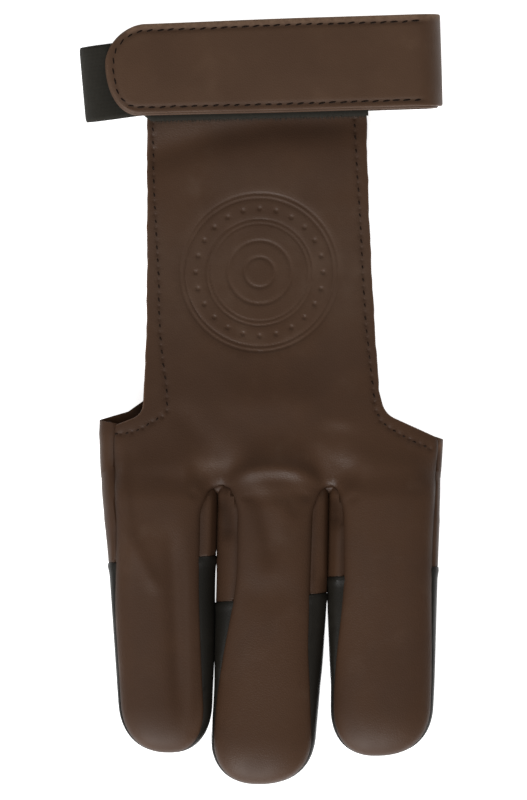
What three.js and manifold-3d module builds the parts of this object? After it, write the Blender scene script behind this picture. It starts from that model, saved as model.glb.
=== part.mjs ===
// A three-finger archery glove, lying flat with its palm side down.
// Millimetres. +Z is up, the fingers point along -Y, and the index finger is at +X.
// The outlines below are measured from the web line, where the fingers part, at y = 0.

import * as THREE from "three";
import { mergeVertices } from "three/addons/utils/BufferGeometryUtils.js";
import Module from "manifold-3d";

// Leather and clearances
const leather = 1.5;
const seamGap = 0.3;
const layerGap = 0.3;

// Fingers, from the ring finger to the index finger
// length: web line to tip. crown: height of the back above the surface it lies on.
// lean and narrow: sideways drift of the axis, and loss of half width, for each mm of length.
// tipRound: length of the rounded end. blackLeft and blackRight: web line to the black leather.
const fingers = [
  {
    name: "ring", width: 31.2, length: 73.7, crown: 12.8, lean: 0.024, narrow: 0.044,
    tipRound: 14, blackLeft: 22.8, blackRight: 19.5,
  },
  {
    name: "middle", width: 29.9, length: 82.3, crown: 13.4, lean: -0.027, narrow: 0.0075,
    tipRound: 14, blackLeft: 32.4, blackRight: 29.7,
  },
  {
    name: "index", width: 30.4, length: 74.6, crown: 12.8, lean: -0.011, narrow: 0.017,
    tipRound: 14, blackLeft: 25.6, blackRight: 21.4,
  },
];
const fingerGap = 0.6;
const fingerOverlap = 13;
const fingerSquare = 2.3;
const rootDrop = 5;
const rootNarrow = 0.12;
const tipDrop = 1.6;

// Seams between the back and the palm side, seen from above
// inset: how far the seam lies in from the side of the finger at its root.
// from and to: shares of the finger's length between which it closes to seamTipInset.
// Past that it dips round the end of the finger, below its widest line.
const seams = [
  { finger: "ring", side: -1, inset: 4.1, from: -0.1, to: 0.55 },
  { finger: "ring", side: 1, inset: 4.1, from: 0.3, to: 0.95 },
  { finger: "middle", side: -1, inset: 5.2, from: 0.25, to: 0.7 },
  { finger: "middle", side: 1, inset: 3.7, from: 0.5, to: 0.95 },
  { finger: "index", side: -1, inset: 3.5, from: 0.3, to: 0.8 },
  { finger: "index", side: 1, inset: 1.6, from: 0.2, to: 0.85 },
];
const seamTipInset = 0.7;
const seamTipDip = 1.2;

// Hand
const handCentre = 2.7;
const knuckleHeight = 11.4;
const webHeight = 10.4;
const wristHeight = 8.6;
const waistShare = 0.42;
const webSquare = 2.5;
const handSquare = 3.4;
const wristSquare = 9;
const floorPress = 2.4;
const webFront = 3.2;
const webRound = 7;
const shoulderFlare = 0.9;

// Strip over the back of the hand
// flare: how far each edge moves out between the wrist and the foot of the strip, and bow how late.
const stripWidth = 60.2;
const stripCentre = -1.5;
const stripSides = {
  left: { side: -1, flare: 1, bow: 8 },
  right: { side: 1, flare: 3.6, bow: 1.8 },
};
const wristReach = 115;
const stripEnd = 118.5;
const stripFoot = 26;

// Shoulders: outer is the corner at the side of the hand, and inner the corner at the strip.
const shoulders = {
  left: { outer: 16.8, inner: 20, spread: 0.2, palmOuter: 17.7, palmInner: 23 },
  right: { outer: 12, inner: 19.4, spread: 1.6, palmOuter: 11, palmInner: 18.5 },
};
const shoulderRadius = 3;

// Elastic band and wrist strap
const loopWidth = 98.8;
const bandWidth = 20.6;
const bandThick = 1.4;
const bandTilt = 3;
const bandDrop = 1.9;
const bandJoin = 15;
const bandClimb = 6;
const strapWidth = 25.4;
const strapLayer = 1.1;
const strapTilt = 1.8;
const tongueRound = 11;
const bandShows = 7.2;
const strapRoot = 40;
const hookLength = 58;
const hookWidth = 17;
const hookThick = 1;
const hookInset = 4;

// Soft dents and folds in the back. Places are shares of what they lie on: a finger's half width and
// length, or the strip's half width and the wrist reach. wide and deep are shares of the leather wall.
const folds = [
  { on: "hand", across: [-0.95, 0.7], along: [0.78, 0.835], wide: 4.6, deep: 1.1 },
  { on: "hand", across: [-0.78, -0.38], along: [0.165, 0.03], wide: 3.2, deep: 0.8 },
  { on: "hand", across: [0.7, 0.66], along: [0.13, 0.02], wide: 3.4, deep: 0.5 },
  { on: "middle", across: [-0.75, 0.9], along: [0.045, 0.05], wide: 1.7, deep: 0.75 },
  { on: "middle", across: [-0.7, -0.05], along: [0.05, 0.28], wide: 2.4, deep: 0.6 },
  { on: "ring", across: [-0.1, -0.1], along: [0.05, 0.84], wide: 3.2, deep: 0.65 },
  { on: "index", across: [0.3, 0.1], along: [0.02, 0.8], wide: 3.6, deep: 0.45 },
];

// Fineness of the facets
const fingerSteps = 12;
const handSteps = 20;
const fingerRow = 10;
const handRows = 13;
const seamRows = 44;
const foldSteps = 10;
const cornerSteps = 6;
const edgeSteps = 6;
const tipTurns = [0, 16, 32, 47, 60, 72, 82];
const webTurns = [0, 25, 45, 62, 78];

// Room for cutting solids to pass right through what they cut
const beyond = 30;

const wasm = await Module();
wasm.setup();

// Turns a closed geometry into a solid that can be joined and cut.
function toSolid(geometry) {
  const bare = geometry.index ? geometry.toNonIndexed() : geometry.clone();
  bare.deleteAttribute("normal");
  bare.deleteAttribute("uv");
  const merged = mergeVertices(bare, 1e-4);
  const mesh = new wasm.Mesh({
    numProp: 3,
    vertProperties: new Float32Array(merged.attributes.position.array),
    triVerts: new Uint32Array(merged.index.array),
  });
  return new wasm.Manifold(mesh);
}

function toGeometry(solid) {
  const mesh = solid.getMesh();
  const geometry = new THREE.BufferGeometry();
  geometry.setAttribute("position", new THREE.BufferAttribute(new Float32Array(mesh.vertProperties), 3));
  geometry.setIndex(new THREE.BufferAttribute(new Uint32Array(mesh.triVerts), 1));
  geometry.computeVertexNormals();
  return geometry;
}

// Joins rings of the same count into one closed solid. Each end closes on its own middle point.
function loft(rings, firstMiddle, lastMiddle) {
  const count = rings[0].length;
  const points = rings.flat();
  points.push(firstMiddle, lastMiddle);
  const index = [];
  for (let row = 0; row + 1 < rings.length; row += 1) {
    for (let i = 0; i < count; i += 1) {
      const next = (i + 1) % count;
      const a = row * count + i;
      const b = row * count + next;
      index.push(a, b, b + count, a, b + count, a + count);
    }
  }
  const last = (rings.length - 1) * count;
  for (let i = 0; i < count; i += 1) {
    const next = (i + 1) % count;
    index.push(points.length - 2, next, i);
    index.push(points.length - 1, last + i, last + next);
  }
  const geometry = new THREE.BufferGeometry().setFromPoints(points);
  geometry.setIndex(index);
  return toSolid(geometry);
}

// A prism that stands on the plan outline given as [x, y] corners.
function prism(corners, low, high) {
  const shape = new THREE.Shape(corners.map(([x, y]) => new THREE.Vector2(x, y)));
  const geometry = new THREE.ExtrudeGeometry(shape, { depth: high - low, bevelEnabled: false });
  geometry.translate(0, 0, low);
  return toSolid(geometry);
}

function mix(a, b, share) {
  return a + (b - a) * share;
}

function smoothStep(share) {
  const held = Math.min(1, Math.max(0, share));
  return held * held * (3 - 2 * held);
}

function signedPower(value, power) {
  return Math.sign(value) * Math.abs(value) ** power;
}

// Finger axes at the web line, side by side with the same gap, centred on the hand.
const handWidth = fingers.reduce((sum, finger) => sum + finger.width, 0) + fingerGap * (fingers.length - 1);
const handLeft = handCentre - handWidth / 2;
const handRight = handCentre + handWidth / 2;
let reached = handLeft;
for (const finger of fingers) {
  finger.root = reached + finger.width / 2;
  reached += finger.width + fingerGap;
}

const longest = Math.max(...fingers.map((finger) => finger.length));
const fingerAt = Object.fromEntries(fingers.map((finger) => [finger.name, finger]));

function fingerCentre(finger, y) {
  return finger.root - finger.lean * Math.min(y, 0);
}

function fingerHalf(finger, y) {
  return finger.width / 2 + finger.narrow * Math.min(y, 0) - rootNarrow * Math.max(y, 0);
}

// Height of the back of a finger: it rises from inside the hand and falls a little towards the tip.
function fingerCrown(finger, y) {
  const inHand = rootDrop * smoothStep((y + fingerOverlap / 3) / (fingerOverlap * 4 / 3));
  const toTip = tipDrop * smoothStep(-y / finger.length);
  return finger.crown - inHand - toTip;
}

// Where a fold lies in plan
function foldEnds(fold) {
  return [0, 1].map((end) => {
    if (fold.on === "hand") {
      return new THREE.Vector2((fold.across[end] * stripWidth) / 2, fold.along[end] * wristReach);
    }
    const finger = fingerAt[fold.on];
    const y = -fold.along[end] * finger.length;
    return new THREE.Vector2(fingerCentre(finger, y) + fold.across[end] * fingerHalf(finger, y), y);
  });
}

const foldLines = folds.map((fold) => ({ ends: foldEnds(fold), wide: fold.wide * leather, deep: fold.deep * leather }));

function foldDepth(x, y) {
  let depth = 0;
  for (const { ends, wide, deep } of foldLines) {
    const [start, end] = ends;
    const run = end.clone().sub(start);
    const share = new THREE.Vector2(x - start.x, y - start.y).dot(run) / run.lengthSq();
    const near = start.clone().addScaledVector(run, Math.min(1, Math.max(0, share)));
    const away = Math.hypot(x - near.x, y - near.y);
    depth += deep * Math.exp(-((away / wide) ** 2));
  }
  return depth;
}

// Height of a superellipse over its middle line, as a share, at a share of its half width
function archShare(across, square) {
  return (1 - Math.min(1, Math.abs(across)) ** square) ** (1 / square);
}

// One cross-section of a leather tube that lies on a flat surface: a superellipse, pressed flat below.
// inset is 0 for the outside and the leather wall for the hollow. close shrinks a rounded end.
function tubeRing(section, inset, steps, close) {
  const { y, centre, half, crown, square } = section;
  const waist = crown * waistShare;
  const ring = [];
  for (let step = 0; step < 2 * steps; step += 1) {
    const over = step < steps;
    const across = Math.cos((Math.PI * step) / steps);
    const arch = archShare(across, square);
    const x = centre + across * (half - inset) * close;
    const dented = crown - waist - inset - foldDepth(x, y) * arch;
    const rise = over ? dented : inset - waist - floorPress;
    ring.push(new THREE.Vector3(x, y, Math.max(waist + arch * rise * close, inset)));
  }
  return ring;
}

function turned(degrees) {
  return THREE.MathUtils.degToRad(degrees);
}

function fingerSection(finger, y) {
  return {
    y,
    centre: fingerCentre(finger, y),
    half: fingerHalf(finger, y),
    crown: fingerCrown(finger, y),
    square: fingerSquare,
  };
}

function fingerTube(finger, inset) {
  const straight = finger.length - finger.tipRound;
  const rows = Math.round((straight + fingerOverlap) / fingerRow);
  const rings = [];
  for (let row = 0; row < rows; row += 1) {
    const y = mix(fingerOverlap, -straight, row / rows);
    rings.push(tubeRing(fingerSection(finger, y), inset, fingerSteps, 1));
  }
  const reach = finger.tipRound - inset;
  for (const degrees of tipTurns) {
    const y = -straight - reach * Math.sin(turned(degrees));
    rings.push(tubeRing(fingerSection(finger, y), inset, fingerSteps, Math.cos(turned(degrees))));
  }
  return closedTube(rings, fingerOverlap, -straight - reach, fingerSection(finger, -finger.length));
}

// The first ring closes flat. The last one closes on the rounded end's own point.
function closedTube(rings, firstY, lastY, lastSection) {
  const first = new THREE.Box3().setFromPoints(rings[0]).getCenter(new THREE.Vector3()).setY(firstY);
  const last = new THREE.Vector3(lastSection.centre, lastY, lastSection.crown * waistShare);
  return loft(rings, first, last);
}

// The hand is a wide flat tube. Past the hem only its top is kept, as the strip over the hand.
function handSection(y) {
  const toKnuckle = smoothStep(y / shoulders.right.outer);
  const toWrist = smoothStep((y - shoulders.right.outer) / (wristReach / 2));
  const flat = smoothStep(y / wristReach - 0.4);
  return {
    y,
    centre: handCentre,
    half: handWidth / 2 + shoulderFlare * toKnuckle,
    crown: mix(mix(webHeight, knuckleHeight, toKnuckle), wristHeight, toWrist),
    square: mix(mix(webSquare, handSquare, toKnuckle), wristSquare, flat),
  };
}

function handTube(inset) {
  const rings = [];
  const end = inset > 0 ? stripEnd + beyond : stripEnd;
  if (inset > 0) {
    rings.push(tubeRing(handSection(end), inset, handSteps, 1));
  }
  const webStart = webRound - webFront;
  for (let row = 0; row < handRows; row += 1) {
    const y = mix(stripEnd, webStart, row / handRows);
    rings.push(tubeRing(handSection(y), inset, handSteps, 1));
  }
  const reach = webRound - inset;
  for (const degrees of webTurns) {
    const y = webStart - reach * Math.sin(turned(degrees));
    rings.push(webRing(y, inset, Math.cos(turned(degrees))));
  }
  return closedTube(rings, end, webStart - reach, handSection(webStart - reach));
}

// The rounded front of the hand, between the fingers, keeps its width and closes in height.
function webRing(y, inset, close) {
  const section = handSection(y);
  const waist = section.crown * waistShare;
  const half = section.half - fingers[0].width * (1 - close) * 0.3;
  const ring = tubeRing({ ...section, half }, inset, handSteps, 1);
  return ring.map((point) => point.setZ(Math.max(inset, waist + (point.z - waist) * close)));
}

function join(solids) {
  return solids.reduce((whole, solid) => whole.add(solid));
}

const outside = join([handTube(0), ...fingers.map((finger) => fingerTube(finger, 0))]);
const hollow = join([handTube(leather), ...fingers.map((finger) => fingerTube(finger, leather))]);
const shell = outside.subtract(hollow);

// How the rounded end of a finger closes at y: 1 before it and 0 at the tip
function tipClose(finger, y) {
  const along = (-y - finger.length + finger.tipRound) / finger.tipRound;
  return Math.sqrt(1 - Math.min(1, Math.max(0, along)) ** 2);
}

// Height of a section at a distance in from its side
function heightAt(section, lies, close) {
  const waist = section.crown * waistShare;
  const arch = archShare(1 - Math.min(1, lies / section.half), section.square);
  return waist + arch * close * (section.crown - waist);
}

// The seam on one side of a finger: its height, the side that it follows, and a place well inside it.
function seamAt({ finger: name, side, inset, from, to }, y) {
  const finger = fingerAt[name];
  const share = -y / finger.length;
  const lies = mix(inset, seamTipInset, smoothStep((share - from) / (to - from)));
  const section = fingerSection(finger, Math.min(0, Math.max(y, -finger.length)));
  const dip = seamTipDip * smoothStep((share - to) / (1 - to));
  const edge = section.centre + side * section.half;
  const dent = foldDepth(edge - side * lies, y);
  const alongFinger = heightAt(section, lies, tipClose(finger, y)) - dent - dip;
  const outer = (side < 0 && finger === fingers[0]) || (side > 0 && finger === fingers.at(-1));
  const hand = handSection(Math.max(0, y));
  const low = hand.crown * waistShare;
  const onHand = outer ? mix(heightAt(hand, inset, 1), low, smoothStep((y - stripFoot) / beyond)) : low;
  const height = mix(alongFinger, onHand, smoothStep(y / (webRound - webFront) / 2));
  return { edge, inner: edge - side * 2 * inset, height, low: section.crown * waistShare - dip };
}

// The solid above the seams. shift moves the seams up.
function aboveSeams(shift) {
  const rings = [];
  for (let row = 0; row <= seamRows; row += 1) {
    rings.push(seamRow(mix(stripEnd + beyond, -longest - beyond, row / seamRows), shift));
  }
  const middle = (ring) => new THREE.Box3().setFromPoints(ring).getCenter(new THREE.Vector3());
  return loft(rings, middle(rings[0]), middle(rings.at(-1)));
}

// One row across all the fingers: level across each seam, and low over the middle of each finger.
function seamRow(y, shift) {
  const line = [];
  for (const seam of seams) {
    const { edge, inner, height, low } = seamAt(seam, y);
    const places = [[edge, height], [inner, height], [fingerCentre(fingerAt[seam.finger], y), low]];
    line.push(...(seam.side < 0 ? places : places.slice(0, 2).reverse()));
  }
  line.unshift([handLeft - beyond, line[0][1]]);
  line.push([handRight + beyond, line.at(-1)[1]]);
  const cut = line.map(([x, z]) => new THREE.Vector3(x, y, z + shift));
  const top = line.map(([x]) => new THREE.Vector3(x, y, beyond)).reverse();
  return [...cut, ...top];
}

// Edge of the strip over the hand
function stripEdge({ side, flare, bow }, y) {
  const share = Math.min(1, Math.max(0, (wristReach - y) / (wristReach - stripFoot)));
  return stripCentre + side * (stripWidth / 2 + flare * share ** bow);
}

// Rounds the corner between two straight runs of an outline.
function roundCorner(before, corner, after, radius) {
  const cornerPoint = new THREE.Vector2(...corner);
  const start = new THREE.Vector2(...before).sub(cornerPoint).setLength(radius).add(cornerPoint);
  const end = new THREE.Vector2(...after).sub(cornerPoint).setLength(radius).add(cornerPoint);
  const curve = new THREE.QuadraticBezierCurve(start, cornerPoint, end);
  return curve.getPoints(cornerSteps).map((point) => [point.x, point.y]);
}

// Plan of one half of the back, from the wrist down: the strip's edge, a rounded corner and the slanted hem.
function halfPlan(strip, shoulder, handSide) {
  const points = [];
  for (let step = 0; step <= edgeSteps; step += 1) {
    const y = mix(stripEnd + beyond, stripFoot, step / edgeSteps);
    points.push([stripEdge(strip, y), y]);
  }
  const corner = [stripEdge(strip, 0) + strip.side * shoulder.spread, shoulder.inner];
  const out = [handSide, shoulder.outer];
  points.push(...roundCorner(points.at(-1), corner, out, shoulderRadius), out);
  points.push([handSide + strip.side * beyond, shoulder.outer], [handSide + strip.side * beyond, -longest - beyond]);
  return points;
}

function backPlan() {
  const left = halfPlan(stripSides.left, shoulders.left, handLeft);
  const right = halfPlan(stripSides.right, shoulders.right, handRight + shoulderFlare);
  return [...left, ...right.reverse()];
}

// Plan of the palm side: its hem runs straight across under the strip.
function palmPlan() {
  const { left, right } = shoulders;
  return [
    [handLeft - beyond, -longest - beyond],
    [handRight + beyond, -longest - beyond],
    [handRight + beyond, right.palmOuter],
    [handRight + shoulderFlare, right.palmOuter],
    [stripEdge(stripSides.right, 0), right.palmInner],
    [stripEdge(stripSides.left, 0), left.palmInner],
    [handLeft, left.palmOuter],
    [handLeft - beyond, left.palmOuter],
  ];
}

// The line midway between two neighbouring fingers, or well outside the first and the last
function betweenFingers(number, y) {
  if (number === 0) {
    return handLeft - beyond;
  }
  if (number === fingers.length) {
    return handRight + beyond;
  }
  const [before, after] = [fingers[number - 1], fingers[number]];
  const edges = fingerCentre(before, y) + fingerHalf(before, y) + fingerCentre(after, y) - fingerHalf(after, y);
  return edges / 2;
}

// Plan of a finger's end, from the slanted upper edge of the black leather. gap moves that edge back.
function tipPlan(finger, gap) {
  const number = fingers.indexOf(finger);
  const low = -finger.length - beyond;
  const left = -finger.blackLeft + gap;
  const right = -finger.blackRight + gap;
  return [
    [betweenFingers(number, low), low],
    [betweenFingers(number + 1, low), low],
    [betweenFingers(number + 1, right), right],
    [betweenFingers(number, left), left],
  ];
}

// The palm side is cut to its own hem below, and to the hem of the back where it wraps up to the seams.
const tall = [-beyond, beyond];
const back = shell.intersect(aboveSeams(0)).intersect(prism(backPlan(), ...tall));
const sideLow = knuckleHeight * waistShare;
const palmCut = prism(palmPlan(), -beyond, sideLow + seamGap).add(prism(backPlan(), sideLow, beyond));
const under = shell.subtract(aboveSeams(-seamGap)).intersect(palmCut);
const palm = fingers.reduce((rest, finger) => rest.subtract(prism(tipPlan(finger, seamGap), ...tall)), under);

// Levels of the layers at the wrist, from the back of the hand up
const bandLow = wristHeight + layerGap;
const bandTop = bandLow + bandThick;
const hookLow = bandTop + layerGap;
const strapLow = hookLow + hookThick + layerGap;
const backingTop = strapLow + strapLayer;
const strapTop = backingTop + layerGap + strapLayer;

// A band seen from its edge: a closed outline of [x, z] between two paths, made as wide as it is.
function ribbon(outer, inner, width) {
  const outline = [...outer, ...inner.slice().reverse()];
  const shape = new THREE.Shape(outline.map(([x, z]) => new THREE.Vector2(x, z)));
  const geometry = new THREE.ExtrudeGeometry(shape, { depth: width, bevelEnabled: false });
  geometry.rotateX(Math.PI / 2);
  geometry.translate(0, width / 2, 0);
  return toSolid(geometry);
}

// A half turn from the lower run to the upper one, round the fold at fold x on the given side.
function halfTurn(foldX, side, low, high) {
  const radius = (high - low) / 2;
  const points = [];
  for (let step = 0; step <= foldSteps; step += 1) {
    const turn = Math.PI * (step / foldSteps - 0.5);
    points.push([foldX + side * radius * (Math.cos(turn) - 1), low + radius * (1 + Math.sin(turn))]);
  }
  return points;
}

const foldLeft = -loopWidth / 2;
const foldRight = loopWidth / 2;
const tongueEnd = foldLeft + bandShows;

// One layer of the strap, from its root on the underside, round the right fold, to the rounded tongue.
function strapLayerSolid(depthOut, depthIn) {
  const path = (depth) => [
    [foldRight - strapRoot, depth],
    ...halfTurn(foldRight - depth, 1, depth, strapTop - depth),
    [tongueEnd, strapTop - depth],
  ];
  return ribbon(path(depthOut), path(depthIn), strapWidth).intersect(prism(tonguePlan(), ...tall));
}

// The strap from above: square at its fold and rounded at its tongue
function tonguePlan() {
  const half = strapWidth / 2;
  const points = [[foldRight + beyond, -half], [foldRight + beyond, half]];
  for (let step = 0; step <= 2 * cornerSteps; step += 1) {
    const turn = Math.PI * (0.5 + step / (2 * cornerSteps));
    points.push([tongueEnd + tongueRound * (1 + Math.cos(turn)), half * Math.sin(turn)]);
  }
  return points;
}

// The band lies over the strip, folds at the left, and ends on the strap's root.
function bandSolid() {
  const overStrap = 2 * (strapLayer + layerGap);
  const rootEnd = foldRight - strapRoot;
  const path = (depth) => [
    [rootEnd + bandJoin, overStrap + depth],
    [rootEnd - layerGap - bandThick, overStrap + depth],
    [rootEnd - bandClimb, depth],
    ...halfTurn(foldLeft + depth, -1, depth, bandTop - depth),
    [stripEdge(stripSides.right, wristReach), bandTop - depth],
  ];
  return ribbon(path(0), path(bandThick), bandWidth);
}

function hookSolid() {
  const left = tongueEnd + hookInset;
  const half = hookWidth / 2;
  const plan = [[left, -half], [left + hookLength, -half], [left + hookLength, half], [left, half]];
  return prism(plan, hookLow, hookLow + hookThick);
}

const materials = {
  brown: { color: 0x44322a, roughness: 0.55, metalness: 0 },
  strap: { color: 0x4b372c, roughness: 0.6, metalness: 0 },
  black: { color: 0x24221e, roughness: 0.5, metalness: 0 },
  band: { color: 0x2c2c27, roughness: 0.9, metalness: 0 },
};

function piece(name, solid, material) {
  const mesh = new THREE.Mesh(toGeometry(solid), new THREE.MeshStandardMaterial(material));
  mesh.name = name;
  return mesh;
}

const glove = new THREE.Group();
glove.add(piece("back_panel", back, materials.brown));
glove.add(piece("palm_panel", palm, materials.brown));
for (const finger of fingers) {
  glove.add(piece(`tip_${finger.name}`, under.intersect(prism(tipPlan(finger, 0), ...tall)), materials.black));
}

// The band and the strap are turned a little on the hand.
const bandGroup = new THREE.Group();
bandGroup.position.y = wristReach - bandDrop;
bandGroup.rotation.z = turned(bandTilt);
bandGroup.add(piece("elastic_band", bandSolid(), materials.band));

const strapGroup = new THREE.Group();
strapGroup.position.y = wristReach;
strapGroup.rotation.z = turned(strapTilt);
strapGroup.add(piece("strap_face", strapLayerSolid(0, strapLayer), materials.strap));
const backingDepth = strapLayer + layerGap;
strapGroup.add(piece("strap_backing", strapLayerSolid(backingDepth, backingDepth + strapLayer), materials.strap));
strapGroup.add(piece("hook_pad", hookSolid(), materials.band));
glove.add(bandGroup, strapGroup);

// The origin is at the bottom, in the middle of the whole glove.
glove.updateMatrixWorld(true);
const box = new THREE.Box3().setFromObject(glove, true);
const middle = box.getCenter(new THREE.Vector3());
const part = new THREE.Group();
glove.position.set(-middle.x, -middle.y, -box.min.z);
part.add(glove);

export default part;
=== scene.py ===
"""Looks of a three-finger archery glove that lies flat with its palm side down.

Laid out as an add-on and run as a script. Shapes are worked out in millimetres from the web line,
where the fingers part, and are put in the row frame in metres as each mesh is made.
"""

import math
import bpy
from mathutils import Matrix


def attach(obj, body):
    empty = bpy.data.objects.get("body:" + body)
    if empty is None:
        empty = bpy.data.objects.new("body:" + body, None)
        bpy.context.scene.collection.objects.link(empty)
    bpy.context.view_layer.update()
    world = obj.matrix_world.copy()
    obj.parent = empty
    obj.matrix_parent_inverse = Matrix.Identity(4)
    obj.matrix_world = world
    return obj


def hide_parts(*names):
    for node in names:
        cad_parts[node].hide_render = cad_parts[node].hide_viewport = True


bl_info = {
    "name": "Archery glove",
    "version": (1, 0, 0),
    "blender": (4, 5, 0),
    "location": "3D View > Sidebar > Glove",
    "description": "Builds the leather, elastic and stitches of an archery glove on its frame",
    "category": "Object",
}

from contextlib import contextmanager

import bmesh
import bpy
import numpy as np
from mathutils import Vector, geometry, noise

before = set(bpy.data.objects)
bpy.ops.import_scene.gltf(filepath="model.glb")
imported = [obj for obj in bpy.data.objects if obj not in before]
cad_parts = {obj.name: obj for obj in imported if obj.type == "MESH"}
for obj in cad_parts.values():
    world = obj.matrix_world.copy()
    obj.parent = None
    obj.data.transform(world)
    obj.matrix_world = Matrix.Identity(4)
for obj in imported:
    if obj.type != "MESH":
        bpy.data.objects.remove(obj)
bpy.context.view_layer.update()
SEED = 7

MM = 0.001
# Middle of the whole glove, in millimetres from the web line
ORIGIN = np.array((0.0124, 23.4727, 0.0))

# Fingers. lean and narrow: drift of the axis and loss of half width for each mm of length.
# bend and skew: how far the outer half and the very tip lean over. black: web line to the black
# leather, left and right.
FINGERS = [
    dict(name="ring", width=31.2, length=73.9, crown=12.8, lean=0.024, narrow=0.044,
         bend=0.0, skew=0.7, black=(22.8, 19.5)),
    dict(name="middle", width=29.9, length=82.6, crown=13.4, lean=-0.027, narrow=0.0075,
         bend=-0.9, skew=-0.9, black=(32.4, 29.7)),
    dict(name="index", width=30.4, length=74.8, crown=12.8, lean=-0.011, narrow=0.017,
         bend=-0.3, skew=-1.5, black=(25.6, 21.4)),
]
BEND_START = 50.0
BEND_REACH = 25.0
FINGER_GAP = 0.6
FINGER_OVERLAP = 13.0
FINGER_SQUARE = 2.3
ROOT_DROP = 5.0
ROOT_NARROW = 0.12
TIP_DROP = 1.6
TIP_ROUND = 14.0
TIP_SQUARE = 2.35

# Seams of each finger. inset: distance in from its side. start and end: shares of its length
# between which the seam closes to the side.
SEAMS = {
    ("ring", -1): dict(inset=4.1, start=-0.1, end=0.55),
    ("ring", 1): dict(inset=4.1, start=0.3, end=1.3),
    ("middle", -1): dict(inset=5.2, start=0.25, end=0.74),
    ("middle", 1): dict(inset=3.7, start=0.5, end=0.95),
    ("index", -1): dict(inset=3.5, start=0.3, end=0.8),
    ("index", 1): dict(inset=1.6, start=0.2, end=0.85),
}
SEAM_TIP_INSET = 0.7
SEAM_TIP_DIP = 1.2
SEAM_GAP = 0.12
SEAM_ROLL = 1.1
SEAM_DEEP = 0.6
# Round the finger roots the seams roll in by this much more
ROOT_SEAM_ROLL = 0.6
ROOT_SEAM_DEEP = 0.4
# Where the roots end: towards the tips and the wrist, each with the length over which it fades
ROOTS = ((-42.0, 16.0), (16.0, 8.0))
# Painted shade beside the seams: its darkness at a seam, how far it reaches, and how much further it reaches
# round the finger roots
SEAM_DARK = 0.9
SEAM_SHADE = 0.7
ROOT_SHADE = 0.6
# Black leather runs on this far under the brown, sunk by this much, and swells below the joint
JOINT_LAP = 1.2
JOINT_SINK = 1.7
JOINT_SWELL = 0.28
JOINT_ROLL = 0.4
JOINT_COVER = 0.18
# The black leather below the joint: its swell, the step down at the cut edge, and a dark line of painted
# shade just below the joint, then how far painted shade reaches up the lower edge of the brown palm leather
JOINT_SWELL_BELOW = 1.1
JOINT_SWELL_WIDE = 1.2
JOINT_STEP_BELOW = 0.12
JOINT_STEP = 0.28
JOINT_SHADE_BELOW = 0.2
JOINT_SHADE = 0.6
PALM_JOINT_SHADE = 0.8
# Half the width of the middle part of the hand, towards which its side walls roll in
HAND_CORE = 36
# Distances above the joint of the added rows of points
JOINT_ROWS = (-3.0, -1.8, -1.1, -0.6, -0.3, -0.12, 0.02, 0.16, 0.4, 0.8)
# Leather that presses on leather goes this far past the middle of the gap
PRESS_MORE = 0.09
# Distance from the web line, and the share of the gap between two fingers that is pressed shut there
PRESSED = [
    [(17.4, 1.0), (18.8, 0.5), (20.6, 0.75), (25.0, 0.35), (31.5, 0.45), (36.0, 0.92), (47.0, 0.9),
     (55.0, 0.3), (62.0, 0.0)],
    [(25.0, 1.0), (29.0, 0.93), (34.5, 0.76), (41.0, 0.5), (48.0, 0.28), (55.0, 0.0)],
]

# Hand
HAND_CENTRE = 2.7
SIDE_SWELL = {-1: 0.85, 1: 0.35}
SWELL_REACH = 13.0
SWELL_START = 30.0
SWELL_FADE = 14.0
SWELL_Y = 1.0
# The outer sides are evened out past this distance from the hand's middle, and this far about a line
EVEN_PAST = 39.0
EVEN_Y = 2.0
EVEN_REACH = 11.0
EVEN_ROUNDS = 14
KNUCKLE_HEIGHT = 11.4
WEB_HEIGHT = 10.4
WRIST_HEIGHT = 8.6
WAIST = 0.42
WEB_SQUARE = 2.5
HAND_SQUARE = 3.4
WRIST_SQUARE = 9.0
FLOOR_PRESS = 2.4
WEB_FRONT = 3.2
WEB_ROUND = 7.0
WEB_BLEND = 2.2
# The web narrows by this share of a finger's width as it closes. Past its edge a surface falls at
# these slopes, so that another one covers it.
WEB_NARROW = 0.3
WEB_FALL = 6.0
FINGER_FALL = 3.0
ROOT_FALL = 0.4
ROOT_FALL_START = 9.0
SHOULDER_FLARE = 0.9

# Strip over the back of the hand
STRIP_WIDTH = 60.2
STRIP_CENTRE = -1.5
STRIP_SIDES = {-1: dict(flare=1.0, bow=8.0), 1: dict(flare=3.6, bow=1.8)}
WRIST_REACH = 115.0
STRIP_END = 118.5
STRIP_FOOT = 26.0
# Share of the reach to the wrist past which the section of the hand gets squarer
SQUARE_START = 0.4
SHOULDERS = {
    -1: dict(outer=14.9, inner=19.2, spread=0.2, palm_outer=17.7, palm_inner=23.0),
    1: dict(outer=12.0, inner=19.4, spread=1.6, palm_outer=11.0, palm_inner=18.5),
}
SHOULDER_RADIUS = 3.0
RAW_CORNER = (48.9, 10.2)
HEM_LIFT = 4.0
UNEVEN = 0.07
# Waves of a hand-cut edge: length, share and shift
UNEVEN_WAVES = [(2.7, 1.0, 0.0), (1.1, 0.6, 2.0), (0.63, 0.4, 0.0)]
CROTCH_DEPTH = 9.0
CROTCH_POINTS = [(-10.9, -0.3), (19.2, -0.5)]

# Wrist
LAYER_GAP = 0.3
LOOP_WIDTH = 98.8
BAND_WIDTH = 20.6
BAND_THICK = 1.4
BAND_RIB = 0.012
BAND_TILT = 3.0
BAND_DROP = 2.1
BAND_BULGE = 0.5
BAND_LEAN = 0.036
# How far the band slips towards the fingers, at its fold and at the edge of the back, and from where
BAND_CLIMBS = (0.5, -0.7)
BAND_FOLD = -49.4
BAND_CLIMB_REACH = 15.4
# The same over the back, with its slope, and where the band steps over to that
BAND_SLIP = 2.0
BAND_SLIP_LEAN = 0.028
BAND_STEP_AT = -33.5
BAND_STEP = 2.5
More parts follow.
